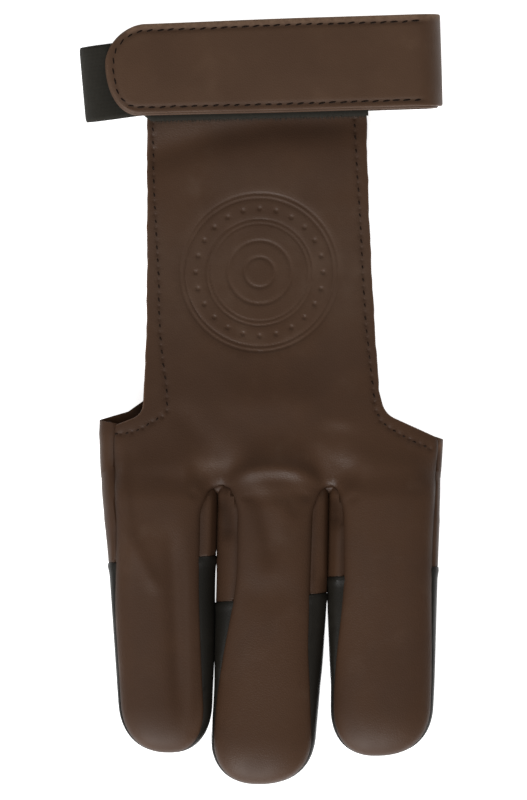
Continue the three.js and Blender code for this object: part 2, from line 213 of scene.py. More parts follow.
# Where its run below gets straight
BAND_FADE_AT = -34.0
BAND_FADE = 24.0
BAND_JOIN = 15.0
BAND_CLIMB = 6.0
STRAP_WIDTH = 25.4
STRAP_LAYER = 1.1
STRAP_TILT = 1.8
# The tongue's end lies off the strap's middle. Its reach above and below that is not the same.
TONGUE_TOP = 2.2
TONGUE_REACH = {1: 10.8, -1: 9.2}
TONGUE_SQUARE = {1: 1.8, -1: 2.15}
STRAP_NARROW = 0.028
BAND_SHOWS = 6.65
STRAP_ROOT = 40.0
HOOK_LENGTH = 58.0
HOOK_WIDTH = 17.0
HOOK_THICK = 1.0
HOOK_INSET = 4.55
BAND_LOW = WRIST_HEIGHT + LAYER_GAP
BAND_TOP = BAND_LOW + BAND_THICK
HOOK_LOW = BAND_TOP + LAYER_GAP
STRAP_TOP = HOOK_LOW + HOOK_THICK + 2 * LAYER_GAP + 2 * STRAP_LAYER
FOLD_RIGHT = LOOP_WIDTH / 2
TONGUE_END = -LOOP_WIDTH / 2 + BAND_SHOWS

# Dents (deep above 0) and ridges (deep below 0) in the back, from one point to another
FOLDS = [
    dict(line=[(-46.0, 88.0), (-34.0, 89.6), (-24.0, 92.4), (-13.8, 96.2), (3.0, 99.1), (30.0, 99.6),
               (42.0, 99.6)], wide=4.7, deep=1.35),
    dict(line=[(-22.0, 3.6), (-14.0, 3.4), (-6.0, 3.6)], wide=3.0, deep=0.75),
    dict(line=[(13.0, 3.4), (20.0, 3.2), (29.0, 3.6)], wide=3.0, deep=0.8),
    dict(line=[(-4.0, -2.9), (5.0, -3.2), (14.0, -2.6)], wide=2.0, deep=0.5),
    dict(line=[(-37.6, 13.0), (-37.2, 0.0), (-36.4, -16.0), (-35.4, -32.0)], wide=1.3, deep=-0.45),
    dict(line=[(-35.0, 12.0), (-34.8, 0.0), (-34.2, -14.0)], wide=1.3, deep=0.3),
    dict(line=[(-14.0, 23.4), (3.0, 22.6), (18.0, 23.4)], wide=5.0, deep=-0.5),
    dict(line=[(-26.0, 23.6), (-15.0, 11.4), (-8.0, 4.2)], wide=3.6, deep=0.45),
    dict(line=[(21.4, 18.0), (20.3, 10.0), (19.6, 3.0)], wide=4.4, deep=0.6),
    dict(line=[(-9.0, 4.4), (3.5, 6.3), (16.0, 4.6)], wide=4.2, deep=-1.7),
    dict(line=[(-11.4, 0.6), (-4.4, 3.2), (0.8, 4.1), (6.3, 4.1), (11.3, 3.0), (19.3, 0.5)], wide=2.2,
         deep=-1.0),
    dict(line=[(-42.0, 5.0), (-28.0, 5.4), (-14.0, 5.0)], wide=4.2, deep=-1.25),
    dict(line=[(21.0, 5.0), (34.0, 5.4), (48.0, 5.0)], wide=4.2, deep=-1.25),
    dict(line=[(-8.0, 0.3), (-2.8, -2.1), (0.0, -5.7), (2.2, -15.3), (2.6, -25.0)], wide=2.7, deep=0.95),
    dict(line=[(17.2, -0.6), (11.0, -3.4), (7.0, -9.0)], wide=2.3, deep=0.6),
    dict(line=[(-8.0, -28.6), (2.0, -30.6), (11.0, -28.6)], wide=4.4, deep=0.4),
    dict(line=[(-25.4, -6.0), (-24.4, -20.0), (-23.4, -40.0), (-22.6, -59.0), (-21.6, -70.0)], wide=2.5,
         deep=1.0),
    dict(line=[(-20.4, -8.0), (-20.0, -40.0), (-19.6, -70.0)], wide=1.8, deep=-0.35),
    dict(line=[(-37.0, -12.0), (-33.5, -20.0), (-28.0, -31.0)], wide=2.0, deep=-0.55),
    dict(line=[(38.0, -4.0), (37.0, -30.0), (36.0, -56.0)], wide=5.2, deep=0.3),
    dict(line=[(-9.4, -2.2), (-8.0, -1.7), (-6.8, -1.3)], wide=0.55, deep=0.4),
    dict(line=[(-5.9, -3.7), (-4.0, -3.5), (-2.0, -3.3)], wide=0.7, deep=0.3),
    dict(line=[(-17.0, -4.0), (-18.7, -2.6), (-20.4, -1.2)], wide=0.8, deep=0.3),
    dict(line=[(14.0, -4.6), (12.2, -3.4), (10.6, -2.4)], wide=0.8, deep=0.35),
    dict(line=[(22.6, -4.8), (24.8, -3.8), (27.0, -2.8)], wide=0.9, deep=0.3),
]
FOLD_TAPER = 0.28
# The same for the sides that show between the fingers, with dark, the share of painted shade along each line.
# Lines with no depth are only painted shade, in the gaps between the fingers and at the crotches.
SIDE_FOLDS = [
    dict(line=[(-10.4, -5.6), (-9.4, -8.0), (-9.0, -12.6)], wide=2.0, deep=1.0, dark=0.85),
    dict(line=[(-14.3, -3.6), (-14.5, -10.0), (-14.8, -19.0)], wide=1.1, deep=-0.9, dark=0.0),
    dict(line=[(20.4, -5.0), (20.6, -9.6)], wide=1.7, deep=1.0, dark=0.85),
    dict(line=[(17.0, -3.6), (16.7, -12.0), (16.3, -24.0)], wide=1.0, deep=-0.7, dark=0.0),
    dict(line=[(21.8, -12.0), (21.2, -26.0)], wide=0.9, deep=-0.4, dark=0.0),
    dict(line=[(-11.6, -1.6), (-11.2, -3.8)], wide=0.6, deep=-0.5, dark=0.0),
    dict(line=[(-12.4, -1.2), (-11.2, -2.0)], wide=1.2, deep=0.0, dark=0.5),
    dict(line=[(17.6, -1.4), (19.2, -1.8)], wide=1.2, deep=0.0, dark=0.5),
    dict(line=[(-12.3, -2.6), (-12.3, -19.0)], wide=0.65, deep=0.0, dark=0.9),
    dict(line=[(18.3, -2.6), (18.3, -23.0)], wide=0.65, deep=0.0, dark=0.9),
]
FOLD_FADE = 3.0
WAVE_SIZE = 26.0
WAVE_DEEP = 0.3

# Stitch rows on the back, in plan
STITCH_ROWS = [
    dict(pitch=3.6, size=1.35,
         line=[(-29.95, 103.0), (-29.95, 97.0), (-29.8, 85.9), (-29.5, 77.8), (-29.1, 70.3), (-28.5, 60.3),
               (-28.3, 50.7), (-28.05, 41.1), (-27.1, 32.4), (-26.2, 26.8), (-26.1, 20.2)]),
    dict(pitch=3.6, size=1.35,
         line=[(25.4, 104.0), (25.6, 97.0), (26.3, 84.2), (26.9, 74.7), (27.4, 64.1), (27.8, 55.8),
               (28.6, 43.5), (29.0, 39.2), (29.6, 34.2), (30.2, 29.0), (30.9, 22.6)]),
    dict(pitch=2.9, size=1.1,
         line=[(-44.4, 14.9), (-42.6, 14.2), (-40.4, 13.7), (-38.2, 14.0), (-36.6, 14.0), (-34.9, 14.7),
               (-33.0, 15.3), (-31.1, 16.6), (-29.15, 17.7), (-27.4, 18.6)]),
    dict(pitch=2.9, size=1.1,
         line=[(31.3, 20.3), (32.6, 17.5), (34.2, 16.0), (36.7, 14.3), (39.1, 13.1), (41.6, 11.9),
               (43.8, 10.8), (46.0, 9.8)]),
]
STITCH_GROOVE = 0.14
STITCH_GROOVE_WIDE = 0.65
STITCH_HOLE = 0.2
STITCH_HOLE_WIDE = 0.42
STITCH_MORE = 0.1
STITCH_SQUARE = {1: 1.9, -1: 2.7}
STITCH_STRAY = 0.1

# Pressed target ring: radius, half width and depth of each line, from the outside in
TARGET_CENTRE = (-0.67, 58.27)
TARGET_LINES = [
    (21.7, 0.42, 0.34), (20.35, 0.3, 0.24), (14.6, 0.3, 0.24), (13.4, 0.3, 0.2),
    (8.7, 0.42, 0.28), (4.1, 0.42, 0.28),
]
TARGET_PIP_RADIUS = 17.5
TARGET_PIPS = 24
TARGET_PIP_SIZE = 0.62
TARGET_PIP_DEEP = 0.32
TARGET_SINK = 0.14

# Painted sheen, lighter patches on the back: place, reach and strength
SHEEN_PLACES = [
    ((-16.0, 58.0), (26.0, 19.0), 0.55),
    ((18.0, 60.0), (24.0, 20.0), 0.6),
    ((2.0, 82.0), (30.0, 8.0), 0.35),
    ((-26.0, 99.0), (9.0, 3.5), 0.5),
]

# Fineness of the meshes
BACK_PITCH = 1.1
EDGE_PITCH = 0.6
EDGE_RINGS = (0.1, 0.28, 0.55, 0.9, 1.5)
TUBE_STEPS = 36
HAND_STEPS = 56
TUBE_PITCH = 1.6
PALM_END = 42.0
REACH = 30.0


# ---------------------------------------------------------------- sizes worked out


def smooth_step(share):
    """0 before the start, 1 after the end and an even curve between."""
    held = np.clip(share, 0.0, 1.0)
    return held * held * (3.0 - 2.0 * held)


def mix(a, b, share):
    return a + (b - a) * share


def bell(away, wide):
    """1 at no distance, falling to 0 on an even curve."""
    return np.exp(-((away / wide) ** 2))


def set_roots():
    """Puts the finger axes side by side, centred on the hand, and gives the hand's width."""
    width = sum(finger["width"] for finger in FINGERS) + FINGER_GAP * (len(FINGERS) - 1)
    reached = HAND_CENTRE - width / 2
    for finger in FINGERS:
        finger["root"] = reached + finger["width"] / 2
        reached += finger["width"] + FINGER_GAP
    return width


HAND_WIDTH = set_roots()
LONGEST = max(finger["length"] for finger in FINGERS)


def finger_centre(finger, y):
    bend = finger["bend"] * smooth_step((-y - BEND_START) / BEND_REACH)
    straight = finger["root"] - finger["lean"] * np.minimum(y, 0.0)
    return straight + bend + finger["skew"] * (1 - tip_close(finger, y))


def finger_half(finger, y):
    return finger["width"] / 2 + finger["narrow"] * np.minimum(y, 0.0) - ROOT_NARROW * np.maximum(y, 0.0)


def finger_crown(finger, y):
    in_hand = ROOT_DROP * smooth_step((y + FINGER_OVERLAP / 3) / (FINGER_OVERLAP * 4 / 3))
    return finger["crown"] - in_hand - TIP_DROP * smooth_step(-y / finger["length"])


def tip_close(finger, y):
    """How the rounded end of a finger closes: 1 before it and 0 at the tip."""
    along = (-y - finger["length"] + TIP_ROUND) / TIP_ROUND
    return np.maximum(0.0, 1.0 - np.clip(along, 0.0, 1.0) ** TIP_SQUARE) ** (1.0 / TIP_SQUARE)


def arch(across, square):
    return (1.0 - np.minimum(1.0, np.abs(across)) ** square) ** (1.0 / square)


def hand_section(y):
    """Half width, crown and squareness of the hand at y."""
    to_knuckle = smooth_step(y / SHOULDERS[1]["outer"])
    to_wrist = smooth_step((y - SHOULDERS[1]["outer"]) / (WRIST_REACH / 2))
    flat = smooth_step(y / WRIST_REACH - SQUARE_START)
    half = HAND_WIDTH / 2 + SHOULDER_FLARE * to_knuckle
    crown = mix(mix(WEB_HEIGHT, KNUCKLE_HEIGHT, to_knuckle), WRIST_HEIGHT, to_wrist)
    square = mix(mix(WEB_SQUARE, HAND_SQUARE, to_knuckle), WRIST_SQUARE, flat)
    return half, crown, square


def finger_top(finger, x, y):
    """Height of the back of a finger. It falls away steeply past its sides."""
    close = np.maximum(tip_close(finger, y), 1e-3)
    half = finger_half(finger, y) * close
    crown = finger_crown(finger, y)
    across = (x - finger_centre(finger, y)) / half
    waist = crown * WAIST
    past = np.maximum(0.0, np.abs(across) - 1.0) * half
    height = waist + arch(across, FINGER_SQUARE) * (crown - waist) * close
    return height - FINGER_FALL * past - ROOT_FALL * np.maximum(0.0, y - ROOT_FALL_START)


def hand_top(x, y):
    """Height of the back of the hand, which closes in a rounded front between the fingers."""
    half, crown, square = hand_section(y)
    waist = crown * WAIST
    front = np.clip((WEB_ROUND - WEB_FRONT - y) / WEB_ROUND, 0.0, 1.0)
    close = np.sqrt(1.0 - front**2)
    half = half - FINGERS[0]["width"] * (1.0 - close) * WEB_NARROW
    past = np.maximum(0.0, -WEB_FRONT - y)
    return waist + arch((x - HAND_CENTRE) / half, square) * (crown - waist) * close - WEB_FALL * past


def blended(a, b, reach):
    """The higher of two surfaces, with the valley between them filled over a reach."""
    share = np.maximum(0.0, 1.0 - np.abs(a - b) / reach)
    return np.maximum(a, b) + share * share * reach / 4.0


def back_top(x, y):
    """Height of the back of the whole glove, without folds."""
    height = hand_top(x, y)
    for finger in FINGERS:
        height = blended(height, finger_top(finger, x, y), WEB_BLEND)
    return height


def near_line(points, line):
    """Distance of each point in plan from a line of points."""
    away = np.full(len(points), np.inf)
    for start, end in zip(line[:-1], line[1:]):
        start, run = np.array(start), np.subtract(end, start)
        share = np.clip(((points - start) @ run) / (run @ run), 0.0, 1.0)
        away = np.minimum(away, np.linalg.norm(points - start - share[:, None] * run, axis=1))
    return away


def taper_along(points, line):
    """1 beside the middle of a fold, falling to 0 beside its ends."""
    start, run = np.array(line[0]), np.subtract(line[-1], line[0])
    share = (points - start) @ run / (run @ run)
    return smooth_step(np.minimum(share, 1.0 - share) / FOLD_TAPER)


def fold_depth(points):
    depth = np.zeros(len(points))
    for fold in FOLDS:
        shape = bell(near_line(points, fold["line"]), fold["wide"])
        depth += fold["deep"] * shape * taper_along(points, fold["line"])
    waves = [noise.noise(Vector((x / WAVE_SIZE, y / WAVE_SIZE, 0.37))) for x, y in points]
    return depth + WAVE_DEEP * np.array(waves)


# ---------------------------------------------------------------- outlines in plan


def spaced(line, pitch):
    """The same line with its points a given pitch apart."""
    line = np.array(line, float)
    steps = np.linalg.norm(np.diff(line, axis=0), axis=1)
    reached = np.concatenate([[0.0], np.cumsum(steps)])
    count = max(1, round(reached[-1] / pitch))
    at = np.linspace(0.0, reached[-1], count + 1)
    return np.column_stack([np.interp(at, reached, column) for column in line.T])


def strip_edge(side, y):
    shape = STRIP_SIDES[side]
    share = np.clip((WRIST_REACH - y) / (WRIST_REACH - STRIP_FOOT), 0.0, 1.0)
    return STRIP_CENTRE + side * (STRIP_WIDTH / 2 + shape["flare"] * share ** shape["bow"])


def seam_lies(finger, side, y):
    seam = SEAMS[(finger["name"], side)]
    share = (-y / finger["length"] - seam["start"]) / (seam["end"] - seam["start"])
    return mix(seam["inset"], SEAM_TIP_INSET, smooth_step(share))


def seam_x(finger, side, y):
    """Where the seam on one side of a finger, or of the hand beside it, lies in plan."""
    lies = seam_lies(finger, side, y)
    on_finger = finger_centre(finger, y) + side * (finger_half(finger, y) - lies) * tip_close(finger, y)
    on_hand = HAND_CENTRE + side * (hand_section(y)[0] - lies)
    return np.where(y > 0, on_hand, on_finger)


def uneven(along):
    """Small waviness of an edge cut by hand."""
    return UNEVEN * sum(share * math.sin(along / long + shift) for long, share, shift in UNEVEN_WAVES)


def round_corner(before, corner, after, radius):
    before, corner, after = (np.array(point, float) for point in (before, corner, after))
    start = corner + (before - corner) / np.linalg.norm(before - corner) * radius
    end = corner + (after - corner) / np.linalg.norm(after - corner) * radius
    share = np.linspace(0.0, 1.0, 9)[:, None]
    return (1 - share) ** 2 * start + 2 * share * (1 - share) * corner + share**2 * end


def half_hem(side):
    """The strip's edge, the rounded corner and the slanted hem on one side, from the wrist down."""
    shoulder = SHOULDERS[side]
    finger = FINGERS[0] if side < 0 else FINGERS[-1]
    rows = np.linspace(STRIP_END, STRIP_FOOT, 150)
    edge = [(float(strip_edge(side, y)) + uneven(y + 40 * side), y) for y in rows]
    corner = (float(strip_edge(side, 0.0)) + side * shoulder["spread"], shoulder["inner"])
    out = (HAND_CENTRE + side * (HAND_WIDTH / 2 + SHOULDER_FLARE * (side > 0)), shoulder["outer"])
    end_x = float(seam_x(finger, side, shoulder["outer"]))
    share = (end_x - corner[0]) / (out[0] - corner[0])
    end = (end_x, mix(corner[1], out[1], share))
    bend = round_corner(edge[-1], corner, out, SHOULDER_RADIUS)
    return [*edge, *map(tuple, bend), end]


def finger_side(finger, side, start):
    """Seam of one side of a finger, from start down to the tip."""
    straight = -(finger["length"] - TIP_ROUND)
    rows = [*np.linspace(start, straight, 60)]
    rows += [straight - TIP_ROUND * math.sin(math.radians(turn)) for turn in np.linspace(3, 90, 30)]
    return [(float(seam_x(finger, side, y)), float(y)) for y in rows]


def crotch(number):
    """The pointed arch between two fingers, from the one on the left to the one on the right."""
    apex_x, apex_y = CROTCH_POINTS[number]
    line = []
    for side, finger in ((-1, FINGERS[number]), (1, FINGERS[number + 1])):
        half = []
        for share in np.linspace(0.0, 1.0, 16) ** 2:
            y = apex_y - CROTCH_DEPTH * share
            edge = float(seam_x(finger, -side, y))
            half.append((apex_x + (edge - apex_x) * (1 - (1 - share) ** 2) ** 0.62, y))
        line += half[::-1] if side < 0 else half[1:]
    return line


def back_outline():
    """Runs of the outline of the back leather, anticlockwise, and whether each is a seam."""
    left, right = half_hem(-1), half_hem(1)
    runs = [(left, False)]
    starts = [left[-1][1], *(apex[1] - CROTCH_DEPTH for apex in CROTCH_POINTS)]
    ends = [*(apex[1] - CROTCH_DEPTH for apex in CROTCH_POINTS), right[-1][1]]
    for number, finger in enumerate(FINGERS):
        down = finger_side(finger, -1, starts[number])
        up = finger_side(finger, 1, ends[number])[::-1]
        runs.append((down + up[1:], True))
        if number + 1 < len(FINGERS):
            runs.append((crotch(number), True))
    runs.append((right[::-1], False))
    runs.append(([right[0], left[0]], False))
    return runs


def inside(points, loop):
    """Whether each point lies inside a closed loop in plan."""
    within = np.zeros(len(points), bool)
    x, y = points.T
    for (x1, y1), (x2, y2) in zip(loop, np.roll(loop, -1, axis=0)):
        if y1 == y2:
            continue
        crosses = (y1 > y) != (y2 > y)
        within ^= crosses & (x < x1 + (y - y1) * (x2 - x1) / (y2 - y1))
    return within


class Outline:
    """The back leather in plan, with distances from its seams and from its cut edges."""

    def __init__(self):
        self.seams, self.cuts, loop = [], [], []
        for line, is_seam in back_outline():
            fine = spaced(line, EDGE_PITCH)
            (self.seams if is_seam else self.cuts).append(fine)
            loop.append(fine[:-1])
        self.loop = np.concatenate(loop)

    def from_seams(self, points):
        return np.min([near_line(points, line) for line in self.seams], axis=0)

    def from_cuts(self, points):
        return np.min([near_line(points, line) for line in self.cuts], axis=0)

    def depth_inside(self, points):
        """Distance in from the outline, below 0 outside."""
        away = np.minimum(self.from_seams(points), self.from_cuts(points))
        return np.where(inside(points, self.loop), away, -away)


# ---------------------------------------------------------------- meshes


def select_only(obj):
    bpy.ops.object.select_all(action="DESELECT")
    obj.select_set(True)
    bpy.context.view_layer.objects.active = obj


def new_object(name, points, faces):
    """A mesh object from points in millimetres from the web line."""
    mesh = bpy.data.meshes.new(name)
    places = ((np.asarray(points) - ORIGIN) * MM).tolist()
    mesh.from_pydata(places, [], [list(map(int, face)) for face in faces])
    mesh.update()
    obj = bpy.data.objects.new(name, mesh)
    bpy.context.scene.collection.objects.link(obj)
    return obj


def points_of(obj):
    """Points of a mesh in millimetres from the web line."""
    flat = np.zeros(len(obj.data.vertices) * 3)
    obj.data.vertices.foreach_get("co", flat)
    return flat.reshape(-1, 3) / MM + ORIGIN


def move_points(obj, points):
    obj.data.vertices.foreach_set("co", ((points - ORIGIN) * MM).ravel())
    obj.data.update()


def mark(obj, name, values):
    """Stores a value from 0 to 1 at each point, for the materials."""
    attribute = obj.data.attributes.new(name, "FLOAT", "POINT")
    attribute.data.foreach_set("value", np.clip(values, 0.0, 1.0).astype(np.float32))


@contextmanager
def editing(obj):
    """The mesh of an object, to edit and put back."""
    bm = bmesh.new()
    bm.from_mesh(obj.data)
    yield bm
    bm.to_mesh(obj.data)
    bm.free()


def smooth_by_angle(obj, degrees):
    select_only(obj)
    bpy.ops.object.shade_smooth_by_angle(angle=math.radians(degrees))


def finish_piece(obj, slot, *materials):
    for material in materials:
        obj.data.materials.append(material)
    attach(obj, "root")


def normals_of(points, faces):
    """Normals of the points of a mesh of triangles."""
    corners = points[faces]
    across = np.cross(corners[:, 1] - corners[:, 0], corners[:, 2] - corners[:, 0])
    total = np.zeros_like(points)
    for corner in range(3):
        np.add.at(total, faces[:, corner], across)
    return total / np.maximum(np.linalg.norm(total, axis=1), 1e-9)[:, None]


def near_roots(y):
    """1 round the roots of the fingers, falling to 0 towards their tips and the wrist."""
    (tips, tip_fade), (wrist, wrist_fade) = ROOTS
    return smooth_step((y - tips) / tip_fade) * smooth_step((wrist - y) / wrist_fade)


def seam_roll(away, y):
    """How far leather rolls in beside a seam."""
    more = near_roots(y)
    return roll(away, SEAM_ROLL + ROOT_SEAM_ROLL * more, SEAM_DEEP + ROOT_SEAM_DEEP * more)


def seam_dark(away, y):
    """Painted shade beside a seam: how dark the leather is made there."""
    return SEAM_DARK - away / (SEAM_SHADE + ROOT_SHADE * near_roots(y))


def roll(away, wide, deep=None):
    """How far a rounded edge falls at a distance from it."""
    near = np.clip(1.0 - away / wide, 0.0, 1.0)
    return (wide if deep is None else deep) * (1.0 - np.sqrt(1.0 - near**2))


def cut(target, tool, operation):
    """Cuts or joins one solid with another, which is used up."""
    select_only(target)
    modifier = target.modifiers.new("Cut", "BOOLEAN")
    modifier.operation = operation
    modifier.solver = "MANIFOLD"
    modifier.object = tool
    bpy.ops.object.modifier_apply(modifier=modifier.name)
    target.data.materials.clear()
    bpy.data.objects.remove(tool)
    if not target.data.polygons:
        raise RuntimeError(f"nothing is left of {target.name}")


def copy_of(obj, name):
    copy = obj.copy()
    copy.data = obj.data.copy()
    copy.name = name
    bpy.context.scene.collection.objects.link(copy)
    return copy


def loft(name, rings, first, last):
    """Joins rings of the same count into a closed solid that ends on two points."""
    count = len(rings[0])
    points = np.concatenate([*rings, [first, last]])
    faces = []
    for row in range(len(rings) - 1):
        for step in range(count):
            a, b = row * count + step, row * count + (step + 1) % count
            faces.append((a, b, b + count, a + count))
    end = (len(rings) - 1) * count
    for step in range(count):
        after = (step + 1) % count
        faces.append((len(points) - 2, after, step))
        faces.append((len(points) - 1, end + step, end + after))
    return new_object(name, points, faces)


def tube_ring(y, centre, half, crown, square, inset, steps, close):
    """A section of a leather tube, pressed flat below. inset is 0 outside and the wall for the hollow."""
    step = np.arange(2 * steps)
    across = np.cos(math.pi * step / steps)
    rise = arch(across, square)
    waist = crown * WAIST
    over = rise * (crown - waist - inset) * close
    under = rise * (inset - waist - FLOOR_PRESS) * close
    z = np.maximum(waist + np.where(step < steps, over, under), inset)
    x = centre + across * (half - inset) * close
    return np.column_stack([x, np.full(len(x), y), z])


def finger_ring(finger, y, inset, close):
    centre, half, crown = (float(find(finger, y)) for find in (finger_centre, finger_half, finger_crown))
    return tube_ring(y, centre, half, crown, FINGER_SQUARE, inset, TUBE_STEPS, close)


def finger_tube(finger, inset):
    straight = finger["length"] - TIP_ROUND
    rows = np.linspace(FINGER_OVERLAP, -straight, round((straight + FINGER_OVERLAP) / TUBE_PITCH))
    rings = [finger_ring(finger, y, inset, 1.0) for y in rows]
    reach = TIP_ROUND - inset
    for turn in np.radians(np.linspace(6, 87, 14)):
        close = (1.0 - math.sin(turn) ** TIP_SQUARE) ** (1.0 / TIP_SQUARE)
        rings.append(finger_ring(finger, -straight - reach * math.sin(turn), inset, close))
    tip = -straight - reach
    crown = float(finger_crown(finger, tip))
    last = (float(finger_centre(finger, tip)), tip, crown * WAIST)
    return loft("tube", rings, rings[0].mean(axis=0), last)


def hand_ring(y, inset, close):
    half, crown, square = (float(value) for value in hand_section(y))
    half -= FINGERS[0]["width"] * (1 - close) * WEB_NARROW
    ring = tube_ring(y, HAND_CENTRE, half, crown, square, inset, HAND_STEPS, 1.0)
    waist = crown * WAIST
    ring[:, 2] = np.maximum(inset, waist + (ring[:, 2] - waist) * close)
    return ring


def hand_tube(inset):
    end = PALM_END + (inset > 0)
    front = WEB_ROUND - WEB_FRONT
    rings = [hand_ring(y, inset, 1.0) for y in np.linspace(end, front, round((end - front) / TUBE_PITCH))]
    reach = WEB_ROUND - inset
    for turn in np.radians(np.linspace(8, 86, 12)):
        rings.append(hand_ring(front - reach * math.sin(turn), inset, math.cos(turn)))
    crown = float(hand_section(front - reach)[1])
    return loft("tube", rings, rings[0].mean(axis=0), (HAND_CENTRE, front - reach, crown * WAIST))


def glove_shell():
    """The leather wall of the whole glove but for the strip: tubes joined, less the tubes inside them."""
    solids = []
    for inset in (0.0, sizes().leather / MM):
        whole = hand_tube(inset)
        for finger in FINGERS:
            cut(whole, finger_tube(finger, inset), "UNION")
        solids.append(whole)
    cut(solids[0], solids[1], "DIFFERENCE")
    smooth_sides(solids[0])
    return solids[0]


def smooth_sides(obj):
    """Evens out the outer sides where the hand runs into the outer fingers."""
    places = points_of(obj)
    beside = (np.abs(places[:, 0] - HAND_CENTRE) > EVEN_PAST) & (np.abs(places[:, 1] - EVEN_Y) < EVEN_REACH)
    with editing(obj) as bm:
        chosen = [vertex for vertex, wanted in zip(list(bm.verts), beside) if wanted]
        for _ in range(EVEN_ROUNDS):
            bmesh.ops.smooth_vert(bm, verts=chosen, factor=0.5, use_axis_x=True, use_axis_z=True)


def seam_level(finger, side, y):
    """The seam on one side of a finger at y: its side, a place inside it and its height."""
    held = min(0.0, max(y, -finger["length"]))
    half, crown = float(finger_half(finger, held)), float(finger_crown(finger, held))
    lies = float(seam_lies(finger, side, y))
    seam = SEAMS[(finger["name"], side)]
    past = (-y / finger["length"] - seam["end"]) / max(0.05, 1 - seam["end"])
    dip = SEAM_TIP_DIP * float(smooth_step(past))
    waist = crown * WAIST
    rise = float(arch(1 - min(1.0, lies / half), FINGER_SQUARE)) * float(tip_close(finger, y))
    along = waist + rise * (crown - waist) - dip
    hand_half, hand_crown, square = (float(value) for value in hand_section(max(0.0, y)))
    low = hand_crown * WAIST
    if (side, finger) in ((-1, FINGERS[0]), (1, FINGERS[-1])):
        low += float(arch(1 - seam["inset"] / hand_half, square)) * (hand_crown - low)
    height = mix(along, low, float(smooth_step(y / (WEB_ROUND - WEB_FRONT) / 2)))
    edge = float(finger["root"] - finger["lean"] * held) + side * half
    return edge, edge - side * 2 * seam["inset"], height, waist - dip


def seam_line(finger, side):
    """Points in space along one seam."""
    outer = (side, finger) in ((-1, FINGERS[0]), (1, FINGERS[-1]))
    rows = np.linspace(SHOULDERS[side]["palm_outer"] if outer else 0.0, -finger["length"], 160)
    return [(float(seam_x(finger, side, y)), y, seam_level(finger, side, y)[2]) for y in rows]


def above_seams(shift):
    """The solid above the seams, one row across all the fingers after another."""
    rings = []
    for y in np.linspace(PALM_END + REACH, -LONGEST - REACH, 190):
        line = []
        for finger in FINGERS:
            edge, inner, height, low = seam_level(finger, -1, y)
            line += [(edge, height), (inner, height)]
            line.append((float(finger_centre(finger, min(0.0, max(y, -finger["length"])))), low))
            edge, inner, height, low = seam_level(finger, 1, y)
            line += [(inner, height), (edge, height)]
        line.insert(0, (-REACH * 3, line[0][1]))
        line.append((REACH * 3, line[-1][1]))
        low = [(x, y, z + shift) for x, z in line]
        rings.append(np.array(low + [(x, y, REACH) for x, _, _ in reversed(low)]))
    return loft("above seams", rings, rings[0].mean(axis=0), rings[-1].mean(axis=0))


def prism(outline, low, high):
    """A solid that stands on a plan outline, given anticlockwise."""
    count = len(outline)
    points = [(x, y, z) for z in (low, high) for x, y in outline]
    faces = [list(range(count))[::-1], list(range(count, 2 * count))]
    faces += [(i, (i + 1) % count, count + (i + 1) % count, count + i) for i in range(count)]
    return new_object("prism", points, faces)


def palm_outline(upper):
    """Plan of the palm side. Its hem runs across under the strip, and lower down the sides above that."""
    left, right = SHOULDERS[-1], SHOULDERS[1]
    sides = HAND_WIDTH / 2
    if upper:
        hem = [(HAND_CENTRE + sides + 1, right["outer"] + 0.3), (HAND_CENTRE + sides - 6, 14.6),
               (HAND_CENTRE - sides + 6, 16.4), (HAND_CENTRE - sides - 1, 17.6)]
    else:
        hem = [(HAND_CENTRE + sides + 1, right["palm_outer"]), (float(strip_edge(1, 0)), right["palm_inner"]),
               (float(strip_edge(-1, 0)), left["palm_inner"]), (-36.8, 20.0),
               (HAND_CENTRE - sides - 1, left["palm_outer"])]
    ends = [(3 * REACH, hem[0][1]), *hem, (-3 * REACH, hem[-1][1])]
    return [(-3 * REACH, -LONGEST - REACH), (3 * REACH, -LONGEST - REACH), *ends]


def between_fingers(number, y):
    if number == 0:
        return -2 * REACH
    if number == len(FINGERS):
        return 2 * REACH
    before, after = FINGERS[number - 1], FINGERS[number]
    right = finger_centre(before, y) + finger_half(before, y)
    return float(right + finger_centre(after, y) - finger_half(after, y)) / 2


def tip_outline(finger, gap):
    """Plan of a finger's end, from the slanted upper edge of the black leather."""
    number = FINGERS.index(finger)
    low = -finger["length"] - REACH
    left, right = (gap - length for length in finger["black"])
    return [(between_fingers(number, low), low), (between_fingers(number + 1, low), low),
            (between_fingers(number + 1, right), right), (between_fingers(number, left), left)]


def above_joint(finger, points):
    """Distance of each point above the joint between a finger's brown and black leather."""
    left, right = finger["black"]
    number = FINGERS.index(finger)
    ends = [(between_fingers(number + step, -length), -length) for step, length in ((0, left), (1, right))]
    ends = [(min(max(x, -60.0), 60.0), y) for x, y in ends]
    slope = (ends[1][1] - ends[0][1]) / (ends[1][0] - ends[0][0])
    return (points[:, 1] - ends[0][1] - slope * (points[:, 0] - ends[0][0])) / math.hypot(1.0, slope)


def swell_sides(points):
    """Lets the outer sides swell a little round the roots of the fingers."""
    for side, far in SIDE_SWELL.items():
        beside = smooth_step((side * (points[:, 0] - HAND_CENTRE) - SWELL_START) / SWELL_FADE)
        points[:, 0] += side * far * beside * bell(points[:, 1] - SWELL_Y, SWELL_REACH)
    return points


def press_together(points):
    """Moves the sides of neighbouring fingers against each other near the web."""
    start, y = points[:, 0].copy(), np.minimum(points[:, 1], 0.0)
    for number, places in enumerate(PRESSED):
        before, after = FINGERS[number], FINGERS[number + 1]
        ends = [(finger_centre(finger, y), finger_half(finger, y)) for finger in (before, after)]
        low, high = ends[0][0] + ends[0][1], ends[1][0] - ends[1][1]
        share = ((high - low) / 2 + PRESS_MORE) * np.interp(-y, *zip(*places)) * (points[:, 1] < 3)
        for (centre, half), side in zip(ends, (1, -1)):
            across = side * (start - centre) / half
            held = smooth_step((across - 0.5) / 0.4) * (side * start <= side * (low + high) / 2)
            points[:, 0] += side * share * held
    return points


